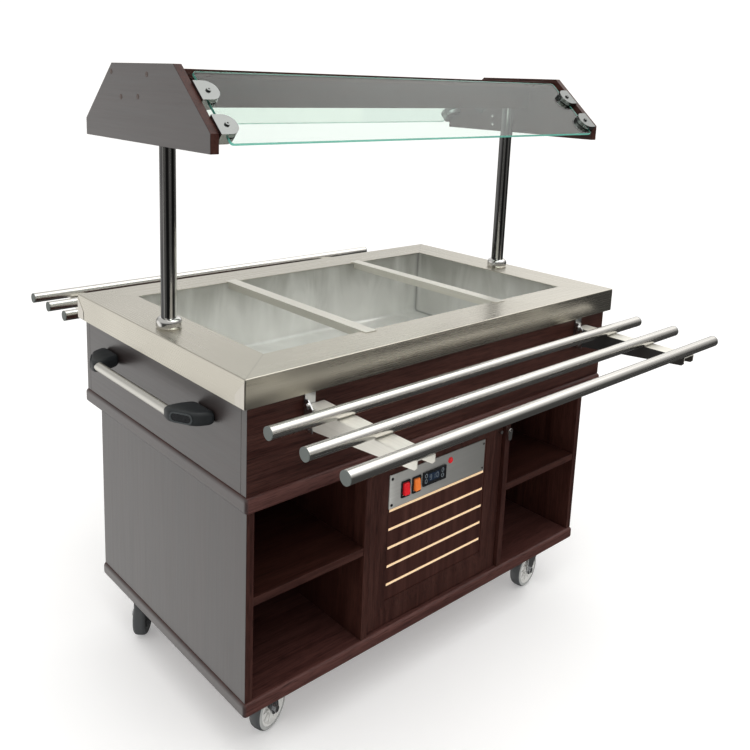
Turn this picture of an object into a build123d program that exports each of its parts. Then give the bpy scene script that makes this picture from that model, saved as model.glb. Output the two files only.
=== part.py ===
from build123d import *
import math
import os

# Steam table trolley. Millimetres, +Z up, floor at z = 0, X along the counter, Y across it.
# The side with the door is -Y. The object is close to symmetric about X = 0 and Y = 0.

# ---------------------------------------------------------------- driving dimensions
TOP_Z = 850.4              # top of the steel worktop
TOP_HALF_X = 577.3
TOP_HALF_Y = 350.3
TOP_SHEET = 1.5
FASCIA_HEIGHT = 57.0
OPENING_HALF_X = 471.5
OPENING_HALF_Y = 255.0

BOARD = 18.0               # laminated board thickness
SURROUND_HALF_X = 563.6    # wooden box around the well
SURROUND_HALF_Y = 337.4
LEDGE_HALF_X = 568.0       # board between the box and the cupboard
LEDGE_HALF_Y = 344.5
LEDGE_BOTTOM = 584.0
LEDGE_TOP = 618.0
CABINET_HALF_X = 543.4
CABINET_HALF_Y = 310.0
BASE_HALF_X = 548.0
BASE_HALF_Y = 316.0
BASE_BOTTOM = 130.0
BASE_TOP = 162.0
DIVIDER_INNER_X = 222.0
SHELF_BOTTOM = 367.0
BULLNOSE = 9.0

TANK_DEPTH = 187.0
TANK_WALL = 1.2
TANK_SET_BACK = 9.0        # the tank's rim stands back from the opening's edge
DRAIN_X = 120.0
DRAIN_Y = 60.0
DRAIN_RADIUS = 13.5

BAR_CENTRES = (-206.0, 218.0)
BAR_WIDTH = 30.0
BAR_DROP = 16.0
BAR_TAB = 14.0

POST_X = 530.4
POST_RADIUS = 16.5
FLANGE_RADIUS = 27.0
FLANGE_HEIGHT = 22.0

CANOPY_OUTER_X = 587.0
CANOPY_BOTTOM = 1231.5
CANOPY_SHOULDER = 1267.5
CANOPY_TOP = 1384.0
CANOPY_HALF_BOTTOM = 252.0
CANOPY_HALF_TOP = 125.0
TOP_BOARD_TOP = 1376.0
TOP_BOARD_HALF_Y = 112.0
LINTEL_BOTTOM = 1300.2
LINTEL_HALF_Y = 39.5

GLASS_HALF_X = 550.0
GLASS_THICKNESS = 6.0
GLASS_LENGTH = 180.0
GLASS_TOP_Y = 128.4        # mid-plane at the upper edge
GLASS_TOP_Z = 1370.0
CLAMP_ALONG = (59.0, 143.0)
CLAMP_SIZE = 48.0

DOOR_HALF_X = 219.0
DOOR_BOTTOM = 165.0
DOOR_TOP = 581.0
DOOR_FRONT_Y = -302.5
DOOR_THICKNESS = 20.0
STILE = 28.0
BEVEL = 28.0
BEVEL_DEPTH = 3.0
PANEL_FACE_Y = -298.0
SLOT_PITCH = 45.0
SLOT_FIRST_Z = 258.5
SLOT_HEIGHT = 6.0
SLOT_HALF_X = 158.0
DOOR_AXIS_INSET = 8.0

PLATE_CENTRE_X = -3.0
PLATE_HALF_X = 159.0
PLATE_BOTTOM = 443.5
PLATE_TOP = 524.5
PLATE_THICKNESS = 3.0

TUBE_RADIUS = 12.5
TUBE_WALL = 1.2
TUBE_HALF_X = 582.0
TUBE_Y = (425.7, 525.5, 625.3)
TUBE_Z = 779.5
CAP_HEAD = 2.0
CAP_PLUG = 12.0
ARM_CENTRES = (-410.0, 460.0)
ARM_WIDTH = 44.0
ARM_SHEET = 2.0
ARM_TIP_Y = 630.0
ARM_ROOT_Y = 341.5
ARM_TIP_DEPTH = 20.0
ARM_TIP_CHAMFER = 5.0
HINGE_Y = 352.0            # the tray rail's fold-down axis
HINGE_Z = 728.0
HINGE_BOLT = 4.0
HINGE_EYE = 8.0
EAR_SHEET = 3.0
EAR_BOTTOM = 717.0
EAR_TOP = 764.0
LOCK_EAR_TOP = 779.0
LOCK_TAB_TOP = 789.0
LOCK_TAB_WIDTH = 25.0
EAR_OUT_Y = 362.5
EAR_CHAMFER = 14.0
LOCK_BOLT_Y = 348.0
LOCK_BOLT_Z = 768.0

HANDLE_X = 618.0
HANDLE_Z = 737.0
HANDLE_RADIUS = 10.0
HANDLE_HALF_Y = 165.0
HANDLE_HEIGHT = 30.0

CASTOR_X = 466.0
CASTOR_Y = 242.0
WHEEL_RADIUS = 50.0
WHEEL_WIDTH = 30.0
AXLE_RADIUS = 5.0
KINGPIN_RADIUS = 5.0
TRAIL = 38.0
FORK_SHEET = 3.0
FORK_INNER = 17.5
PLATE_SHEET = 3.0
CUP_BOTTOM = 121.3
YOKE_TOP = 109.0
CASTORS = (                # name, side in X, side in Y, heading of the trailing wheel
    ("fl", -1, -1, 18.0),
    ("fr", 1, -1, 188.0),
    ("bl", -1, 1, 228.0),
    ("br", 1, 1, 160.0),
)

STUD_X = 207.0
STUD_LENGTH = 7.1
BUTTON_X = 231.0
BUTTON_Z = 531.0
BUTTON_THICKNESS = 8.0
PIN_RADIUS = 3.0
PIN_DEPTH = 12.0

ROCKER_X = (-114.0, -80.0)
ROCKER_Z = 480.5
ROCKER_WIDTH = 19.0
ROCKER_HEIGHT = 32.0
ROCKER_TILT = 8.0
ROCKER_PIVOT_INSET = 2.0
NUB_RADIUS = 2.0
BEZEL_WIDTH = 28.0
BEZEL_HEIGHT = 40.0
CONTROLLER_X = -22.5
CONTROLLER_Z = 484.5
CONTROLLER_WIDTH = 76.0
CONTROLLER_HEIGHT = 34.0
BODY_INSET = 4.4           # how much smaller a switch body is than its front
LAMP_X = 31.6
LAMP_Z = 506.0
LAMP_RADIUS = 7.5
CUTOUT_X = -57.0           # the opening in the wooden panel behind the plate
CUTOUT_Z = 482.0
CUTOUT_WIDTH = 150.0
CUTOUT_HEIGHT = 43.0

RUN = 0.05                 # radial clearance of a running fit
GAP = 0.3                  # clearance between moving neighbours

os.makedirs("parts", exist_ok=True)


def save(built, name):
    """Label a finished piece and write it as its own STEP file."""
    built.part.label = name
    export_step(built.part, f"parts/{name}.step")


def block(x, y, z, edge=0.0):
    """A board or block between the low and high values of x, y and z."""
    with BuildPart() as made:
        with BuildSketch(Plane.XY.offset(z[0])):
            with Locations(((x[0] + x[1]) / 2, (y[0] + y[1]) / 2)):
                Rectangle(x[1] - x[0], y[1] - y[0])
        extrude(amount=z[1] - z[0])
        if edge > 0:
            fillet(made.edges(), radius=edge)
    return made


def bullnose_board(half_x, half_y, bottom, top):
    """A thick board whose outer edge is rounded above and below."""
    with BuildPart() as made:
        with BuildSketch(Plane.XY.offset(bottom)):
            RectangleRounded(2 * half_x, 2 * half_y, BULLNOSE)
        extrude(amount=top - bottom)
        fillet(made.faces().sort_by(Axis.Z)[-1].edges(), radius=BULLNOSE)
        fillet(made.faces().sort_by(Axis.Z)[0].edges(), radius=BULLNOSE)
    return made


# ---------------------------------------------------------------- cupboard
def make_cabinet():
    base = bullnose_board(BASE_HALF_X, BASE_HALF_Y, BASE_BOTTOM, BASE_TOP)
    save(base, "bottom_board")
    with BuildPart() as ledge:
        add(bullnose_board(LEDGE_HALF_X, LEDGE_HALF_Y, LEDGE_BOTTOM, LEDGE_TOP).part)
        with Locations((DRAIN_X, DRAIN_Y, LEDGE_TOP)):
            Hole(radius=DRAIN_RADIUS + 2)
    save(ledge, "ledge_board")

    inner_x = CABINET_HALF_X - BOARD
    rise = (BASE_TOP, LEDGE_BOTTOM)
    edge = 0.8
    with BuildPart() as sides:
        for side in (-1, 1):
            wall = sorted((side * inner_x, side * CABINET_HALF_X))
            add(block(wall, (-CABINET_HALF_Y, CABINET_HALF_Y), rise, edge).part)
    save(sides, "cabinet_sides")
    back_y = (CABINET_HALF_Y - BOARD, CABINET_HALF_Y)
    with BuildPart() as dividers:
        for side in (-1, 1):
            wall = sorted((side * DIVIDER_INNER_X, side * (DIVIDER_INNER_X + BOARD)))
            add(block(wall, (-CABINET_HALF_Y, back_y[0]), rise, edge).part)
    save(dividers, "bay_dividers")
    save(block((-inner_x, inner_x), back_y, rise, edge), "cabinet_back")

    shelf_x = (DIVIDER_INNER_X + BOARD, inner_x)
    pin_radius = 2.5
    pin_length = 8.0
    pin_inset = 60.0
    with BuildPart() as shelves:
        for side in (-1, 1):
            span = sorted(side * value for value in shelf_x)
            levels = (SHELF_BOTTOM, SHELF_BOTTOM + BOARD)
            shelf_y = (-CABINET_HALF_Y + 1, CABINET_HALF_Y - BOARD)
            add(block(span, shelf_y, levels, edge).part)
    save(shelves, "bay_shelves")
    with BuildPart() as pins:
        for side in (-1, 1):
            for wall in (0, 1):
                start = side * shelf_x[wall]
                inward = side if wall == 0 else -side
                for y in (-CABINET_HALF_Y + pin_inset, CABINET_HALF_Y - BOARD - pin_inset):
                    plane = Plane((start, y, SHELF_BOTTOM - pin_radius), z_dir=(inward, 0, 0))
                    with BuildSketch(plane):
                        Circle(pin_radius)
                    extrude(amount=pin_length)
    save(pins, "shelf_pins")


# ---------------------------------------------------------------- wooden box around the well
def make_surround():
    under_top = TOP_Z - TOP_SHEET
    rise = (LEDGE_TOP, under_top)
    edge = 0.8
    inner_y = SURROUND_HALF_Y - BOARD
    inner_x = SURROUND_HALF_X - BOARD
    for side, name in ((-1, "front"), (1, "back")):
        wall = sorted((side * inner_y, side * SURROUND_HALF_Y))
        save(block((-SURROUND_HALF_X, SURROUND_HALF_X), wall, rise, edge), f"surround_{name}")
    with BuildPart() as ends:
        for side in (-1, 1):
            wall = sorted((side * inner_x, side * SURROUND_HALF_X))
            add(block(wall, (-inner_y, inner_y), rise, edge).part)
    save(ends, "surround_ends")


# ---------------------------------------------------------------- steel worktop, tank and heating
def make_worktop():
    fold = 2.5
    with BuildPart() as top:
        with BuildSketch(Plane.XY.offset(TOP_Z - FASCIA_HEIGHT)):
            RectangleRounded(2 * TOP_HALF_X, 2 * TOP_HALF_Y, fold)
        extrude(amount=FASCIA_HEIGHT)
        fillet(top.faces().sort_by(Axis.Z)[-1].edges(), radius=fold)
        with BuildSketch(Plane.XY.offset(TOP_Z - FASCIA_HEIGHT)):
            RectangleRounded(2 * (TOP_HALF_X - TOP_SHEET), 2 * (TOP_HALF_Y - TOP_SHEET), 1.0)
        extrude(amount=FASCIA_HEIGHT - TOP_SHEET, mode=Mode.SUBTRACT)
        with BuildSketch(Plane.XY.offset(TOP_Z)):
            Rectangle(2 * OPENING_HALF_X, 2 * OPENING_HALF_Y)
        extrude(amount=-FASCIA_HEIGHT, mode=Mode.SUBTRACT)
    save(top, "worktop")


def rounded_bin(half_x, half_y, bottom, top, corner, floor_corner):
    """An upright block with rounded corners, more so round its floor."""
    with BuildPart() as made:
        with BuildSketch(Plane.XY.offset(bottom)):
            RectangleRounded(2 * half_x, 2 * half_y, corner)
        extrude(amount=top - bottom)
        fillet(made.faces().sort_by(Axis.Z)[0].edges(), radius=floor_corner)
    return made


def make_tank():
    rim_z = TOP_Z - TOP_SHEET
    floor_z = TOP_Z - TANK_DEPTH
    inner_x = OPENING_HALF_X + TANK_SET_BACK
    inner_y = OPENING_HALF_Y + TANK_SET_BACK
    outer_x = inner_x + TANK_WALL
    outer_y = inner_y + TANK_WALL
    corner = 14.0
    floor_corner = 10.0
    flange = 12.0
    hollow = rounded_bin(inner_x, inner_y, floor_z, rim_z, corner, floor_corner)
    skin_corner = corner + TANK_WALL
    skin_floor = floor_corner + TANK_WALL
    shell = rounded_bin(outer_x, outer_y, floor_z - TANK_WALL, rim_z, skin_corner, skin_floor)
    with BuildPart() as tank:
        add(shell.part)
        with BuildSketch(Plane.XY.offset(rim_z)):
            RectangleRounded(2 * (inner_x + flange), 2 * (inner_y + flange), corner + flange)
        extrude(amount=-TANK_WALL)
        add(hollow.part, mode=Mode.SUBTRACT)
        with Locations((DRAIN_X, DRAIN_Y, rim_z)):
            Hole(radius=DRAIN_RADIUS)
    save(tank, "well_tank")
    return floor_z


def make_heating(floor_z):
    """A serpentine tubular element clipped under the tank, and the insulation around it all."""
    tube = 4.0
    element_z = floor_z - TANK_WALL - tube
    reach = 400.0
    rows = (-200.0, -120.0, -40.0, 40.0, 120.0, 200.0)
    bend = (rows[1] - rows[0]) / 2
    with BuildPart() as element:
        with BuildLine():
            start = (-reach, rows[0], element_z)
            for index, y in enumerate(rows):
                direction = 1 if index % 2 == 0 else -1
                end = (direction * reach, y, element_z)
                run = Line(start, end)
                if index < len(rows) - 1:
                    middle = (direction * (reach + bend), y + bend, element_z)
                    start = (direction * reach, rows[index + 1], element_z)
                    ThreePointArc(run @ 1, middle, start)
        with BuildSketch(Plane((-reach, rows[0], element_z), z_dir=(1, 0, 0))):
            Circle(tube)
        sweep()
    save(element, "heating_element")

    gap = 2.0
    thickness = 25.0
    wall_x = OPENING_HALF_X + TANK_SET_BACK + TANK_WALL + gap
    wall_y = OPENING_HALF_Y + TANK_SET_BACK + TANK_WALL + gap
    post_room = 20.0
    jacket_top = TOP_Z - 30
    jacket_floor = LEDGE_TOP + 0.5
    cavity_floor = element_z - tube - gap
    with BuildPart() as jacket:
        with BuildSketch(Plane.XY.offset(jacket_floor)):
            Rectangle(2 * (wall_x + post_room), 2 * (wall_y + thickness))
        extrude(amount=jacket_top - jacket_floor)
        with BuildSketch(Plane.XY.offset(cavity_floor)):
            Rectangle(2 * wall_x, 2 * wall_y)
        extrude(amount=jacket_top - cavity_floor, mode=Mode.SUBTRACT)
        with Locations((DRAIN_X, DRAIN_Y, jacket_top)):
            Hole(radius=DRAIN_RADIUS + 4)
    save(jacket, "insulation_jacket")


def make_drain(floor_z):
    """Drain stub from the tank down through the ledge to a quarter-turn valve in the cupboard."""
    wall = 1.5
    body_bottom = 500.0
    body_top = 556.0
    body_radius = 19.0
    spout_bottom = 470.0
    stem_radius = 4.0
    stem_start = DRAIN_RADIUS + 11
    lever_sheet = 4.0
    tank_under = floor_z - TANK_WALL
    with BuildPart() as pipe:
        with BuildSketch(Plane.XY.offset(spout_bottom)):
            with Locations((DRAIN_X, DRAIN_Y)):
                Circle(DRAIN_RADIUS)
        extrude(amount=tank_under - spout_bottom)
        with BuildSketch(Plane.XY.offset(body_bottom)):
            with Locations((DRAIN_X, DRAIN_Y)):
                RegularPolygon(body_radius, 8)
        extrude(amount=body_top - body_bottom)
        with Locations((DRAIN_X, DRAIN_Y, tank_under)):
            Hole(radius=DRAIN_RADIUS - wall)
        middle = (DRAIN_X, DRAIN_Y, (body_bottom + body_top) / 2)
        boss = Plane(middle, x_dir=(1, 0, 0), z_dir=(0, -1, 0))
        with BuildSketch(boss.offset(DRAIN_RADIUS + 1)):
            Circle(9.0)
        extrude(amount=10.0)
        with BuildSketch(boss.offset(stem_start)):
            Circle(stem_radius)
        extrude(amount=GAP + lever_sheet + GAP)
        with BuildSketch(boss.offset(stem_start + GAP + lever_sheet + GAP)):
            RegularPolygon(7.0, 6)
        extrude(amount=5.0)
    save(pipe, "drain_valve")

    lever_length = 70.0
    lever_width = 14.0
    with BuildPart() as lever:
        with BuildSketch(boss.offset(stem_start + GAP)):
            Circle(11.0)
            with Locations((lever_length / 2, 0)):
                SlotOverall(lever_length + lever_width, lever_width)
            Circle(stem_radius + RUN, mode=Mode.SUBTRACT)
        extrude(amount=lever_sheet)
    save(lever, "drain_lever")


def make_bars():
    inner_y = OPENING_HALF_Y - 1.0
    for centre, name in zip(BAR_CENTRES, ("left", "right")):
        with BuildPart() as bar:
            with BuildSketch(Plane.XY.offset(TOP_Z)):
                with Locations((centre, 0)):
                    Rectangle(BAR_WIDTH, 2 * (inner_y + BAR_TAB))
            extrude(amount=TOP_SHEET)
            with BuildSketch(Plane.XY.offset(TOP_Z)):
                with Locations((centre, 0)):
                    Rectangle(BAR_WIDTH, 2 * inner_y)
            extrude(amount=-BAR_DROP)
            with BuildSketch(Plane.XY.offset(TOP_Z)):
                with Locations((centre, 0)):
                    Rectangle(BAR_WIDTH - 2 * TOP_SHEET, 2 * inner_y)
            extrude(amount=-BAR_DROP, mode=Mode.SUBTRACT)
        save(bar, f"adapter_bar_{name}")


# ---------------------------------------------------------------- posts and canopy
def make_posts():
    wall = 1.5
    top_z = TOP_BOARD_TOP - BOARD
    with BuildPart() as posts:
        with BuildSketch(Plane.XY.offset(TOP_Z)):
            with Locations((-POST_X, 0), (POST_X, 0)):
                Circle(POST_RADIUS)
                Circle(POST_RADIUS - wall, mode=Mode.SUBTRACT)
        extrude(amount=top_z - TOP_Z)
    save(posts, "posts")

    shoulder = 10.0
    with BuildPart() as flanges:
        for side in (-1, 1):
            with BuildSketch(Plane((side * POST_X, 0, TOP_Z), x_dir=(1, 0, 0), z_dir=(0, -1, 0))):
                with BuildLine():
                    low = Polyline(
                        (POST_RADIUS, 0),
                        (FLANGE_RADIUS - 2, 0),
                        (FLANGE_RADIUS, 4),
                        (FLANGE_RADIUS, FLANGE_HEIGHT - shoulder),
                    )
                    crown = ThreePointArc(
                        low @ 1,
                        (FLANGE_RADIUS - 0.3 * shoulder, FLANGE_HEIGHT - 0.3 * shoulder),
                        (FLANGE_RADIUS - shoulder, FLANGE_HEIGHT),
                    )
                    Polyline(crown @ 1, (POST_RADIUS, FLANGE_HEIGHT), (POST_RADIUS, 0))
                make_face()
            revolve(axis=Axis((side * POST_X, 0, 0), (0, 0, 1)))
    save(flanges, "post_flanges")


def make_canopy():
    profile = (
        (-CANOPY_HALF_BOTTOM, CANOPY_BOTTOM),
        (CANOPY_HALF_BOTTOM, CANOPY_BOTTOM),
        (CANOPY_HALF_BOTTOM, CANOPY_SHOULDER),
        (CANOPY_HALF_TOP, CANOPY_TOP),
        (-CANOPY_HALF_TOP, CANOPY_TOP),
        (-CANOPY_HALF_BOTTOM, CANOPY_SHOULDER),
    )
    inner_x = CANOPY_OUTER_X - BOARD
    for start, name in ((-CANOPY_OUTER_X, "left"), (inner_x, "right")):
        with BuildPart() as end:
            with BuildSketch(Plane((start, 0, 0), x_dir=(0, 1, 0), z_dir=(1, 0, 0))):
                Polygon(*profile, align=None)
            extrude(amount=BOARD)
            fillet(end.edges(), radius=1.0)
        save(end, f"canopy_end_{name}")

    span = (-inner_x, inner_x)
    board_bottom = TOP_BOARD_TOP - BOARD
    shelf = block(span, (-TOP_BOARD_HALF_Y, TOP_BOARD_HALF_Y), (board_bottom, TOP_BOARD_TOP), 0.8)
    save(shelf, "canopy_top_board")
    with BuildPart() as lintels:
        for side in (-1, 1):
            wall = sorted((side * (LINTEL_HALF_Y - BOARD), side * LINTEL_HALF_Y))
            add(block(span, wall, (LINTEL_BOTTOM, board_bottom), 0.8).part)
    save(lintels, "lintel_boards")


def make_lamp():
    """A slim lamp between the lintel boards: a channel under the top board and a light tube."""
    half_x = 480.0
    half_y = 19.0
    sheet = 1.0
    top_z = TOP_BOARD_TOP - BOARD
    bottom_z = top_z - 30.0
    tube_radius = 13.0
    with BuildPart() as housing:
        with BuildSketch(Plane.XY.offset(bottom_z)):
            Rectangle(2 * half_x, 2 * half_y)
        extrude(amount=top_z - bottom_z)
        with BuildSketch(Plane.XY.offset(bottom_z)):
            Rectangle(2 * (half_x - 12), 2 * (half_y - sheet))
        extrude(amount=top_z - bottom_z - sheet, mode=Mode.SUBTRACT)
    save(housing, "lamp_housing")
    with BuildPart() as tube:
        with BuildSketch(Plane((-half_x + 12, 0, bottom_z + tube_radius + 1), z_dir=(1, 0, 0))):
            Circle(tube_radius)
            Circle(tube_radius - sheet, mode=Mode.SUBTRACT)
        extrude(amount=2 * (half_x - 12))
    save(tube, "lamp_tube")


def glass_plane(side, along, lift):
    """Plane lying in a glass sheet: +x along the counter, +y up the slope, +z outwards."""
    run = CANOPY_HALF_BOTTOM - CANOPY_HALF_TOP
    rise = CANOPY_TOP - CANOPY_SHOULDER
    slope = math.hypot(run, rise)
    up_y = -side * run / slope
    up_z = rise / slope
    origin = Vector(0, side * GLASS_TOP_Y, GLASS_TOP_Z) - Vector(0, up_y, up_z) * along
    across = Vector(-side, 0, 0)
    normal = across.cross(Vector(0, up_y, up_z))
    return Plane(origin + normal * lift, x_dir=across, z_dir=normal)


def make_glass():
    for side, name in ((-1, "front"), (1, "back")):
        plane = glass_plane(side, GLASS_LENGTH / 2, -GLASS_THICKNESS / 2)
        with BuildPart() as sheet:
            with BuildSketch(plane):
                RectangleRounded(2 * GLASS_HALF_X, GLASS_LENGTH, 6.0)
            extrude(amount=GLASS_THICKNESS)
            fillet(sheet.edges().filter_by(GeomType.LINE).group_by(SortBy.LENGTH)[-1], radius=0.8)
        save(sheet, f"glass_{name}")

    gasket = 0.2
    jaw = 10.0
    face_x = CANOPY_OUTER_X - BOARD
    back_half = CLAMP_SIZE / 2
    nose = GLASS_HALF_X - face_x
    reach = CLAMP_SIZE - 4
    with BuildPart() as clamps:
        for side in (-1, 1):
            for along in CLAMP_ALONG:
                for end in (-1, 1):
                    for lift, height in (
                        (GLASS_THICKNESS / 2 + gasket, jaw),
                        (-GLASS_THICKNESS / 2 - gasket, -jaw),
                    ):
                        plane = glass_plane(side, along, lift)
                        sign = end * -side
                        foot = sign * face_x
                        with BuildSketch(plane):
                            with BuildLine():
                                flat = Line((foot, -back_half), (foot, back_half))
                                straight = foot - sign * (reach - back_half)
                                top = Line(flat @ 1, (straight, back_half))
                                arc = ThreePointArc(
                                    top @ 1,
                                    (straight - sign * back_half, 0),
                                    (straight, -back_half),
                                )
                                Line(arc @ 1, flat @ 0)
                            make_face()
                        extrude(amount=height)
                    bridge = glass_plane(side, along, -GLASS_THICKNESS / 2 - gasket)
                    width = abs(nose) - 1
                    with BuildSketch(bridge):
                        with Locations((sign * (face_x - width / 2), 0)):
                            Rectangle(width, CLAMP_SIZE)
                    extrude(amount=GLASS_THICKNESS + 2 * gasket)

    head_radius = 5.0
    head_height = 3.0
    seat = GLASS_THICKNESS / 2 + gasket + jaw + RUN
    with BuildPart() as screws:
        for side in (-1, 1):
            for along in CLAMP_ALONG:
                for end in (-1, 1):
                    with BuildSketch(glass_plane(side, along, seat)):
                        with Locations((end * -side * (face_x - reach / 2), 0)):
                            Circle(head_radius)
                            RegularPolygon(2.0, 6, mode=Mode.SUBTRACT)
                    extrude(amount=head_height)
    with BuildPart() as assembled:
        add([clamps.part, screws.part])
    save(assembled, "glass_clamps")


# ---------------------------------------------------------------- door and controls
def front_plane(y):
    """Vertical plane facing the -Y side: +x to the right, +y upwards, +z outwards."""
    return Plane((0, y, 0), x_dir=(1, 0, 0), z_dir=(0, -1, 0))


def centred(low, high):
    return (low + high) / 2


def make_door():
    back_y = DOOR_FRONT_Y + DOOR_THICKNESS
    middle_z = centred(DOOR_BOTTOM, DOOR_TOP)
    height = DOOR_TOP - DOOR_BOTTOM
    flat_x = DOOR_HALF_X - STILE
    flat_height = height - 2 * STILE
    inner_x = flat_x - BEVEL
    inner_height = flat_height - 2 * BEVEL
    panel_back_y = back_y - 4.0
    bevel_y = DOOR_FRONT_Y + BEVEL_DEPTH
    with BuildPart() as frame:
        with BuildSketch(front_plane(back_y)):
            with Locations((0, middle_z)):
                Rectangle(2 * DOOR_HALF_X, height)
        extrude(amount=DOOR_THICKNESS)
        fillet(frame.edges().filter_by(Axis.Z), radius=3.0)
        with BuildSketch(front_plane(DOOR_FRONT_Y)):
            with Locations((0, middle_z)):
                Rectangle(2 * flat_x, flat_height)
        with BuildSketch(front_plane(bevel_y)):
            with Locations((0, middle_z)):
                Rectangle(2 * inner_x, inner_height)
        loft(mode=Mode.SUBTRACT)
        with BuildSketch(front_plane(bevel_y)):
            with Locations((0, middle_z)):
                Rectangle(2 * inner_x, inner_height)
        extrude(amount=-DOOR_THICKNESS, mode=Mode.SUBTRACT)
        rebate = 6.0
        with BuildSketch(front_plane(PANEL_FACE_Y)):
            with Locations((0, middle_z)):
                Rectangle(2 * (inner_x + rebate), inner_height + 2 * rebate)
        extrude(amount=-DOOR_THICKNESS, mode=Mode.SUBTRACT)
        axis_x = -DOOR_HALF_X + DOOR_AXIS_INSET
        axis_y = DOOR_FRONT_Y + DOOR_AXIS_INSET
        bore = PIN_RADIUS + RUN
        for level, direction in ((DOOR_BOTTOM, 1), (DOOR_TOP, -1)):
            with BuildSketch(Plane((axis_x, axis_y, level), z_dir=(0, 0, direction))):
                Circle(bore)
            extrude(amount=PIN_DEPTH + 1, mode=Mode.SUBTRACT)
    save(frame, "door_frame")

    with BuildPart() as panel:
        with BuildSketch(front_plane(panel_back_y)):
            with Locations((0, middle_z)):
                Rectangle(2 * (inner_x + rebate), inner_height + 2 * rebate)
            for row in range(5):
                with Locations((0, SLOT_FIRST_Z + row * SLOT_PITCH)):
                    Rectangle(2 * SLOT_HALF_X, SLOT_HEIGHT, mode=Mode.SUBTRACT)
            with Locations((CUTOUT_X, CUTOUT_Z)):
                Rectangle(CUTOUT_WIDTH, CUTOUT_HEIGHT, mode=Mode.SUBTRACT)
            with Locations((LAMP_X, LAMP_Z)):
                Circle(LAMP_RADIUS + 0.5, mode=Mode.SUBTRACT)
        extrude(amount=panel_back_y - PANEL_FACE_Y)
    save(panel, "door_panel")


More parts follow.
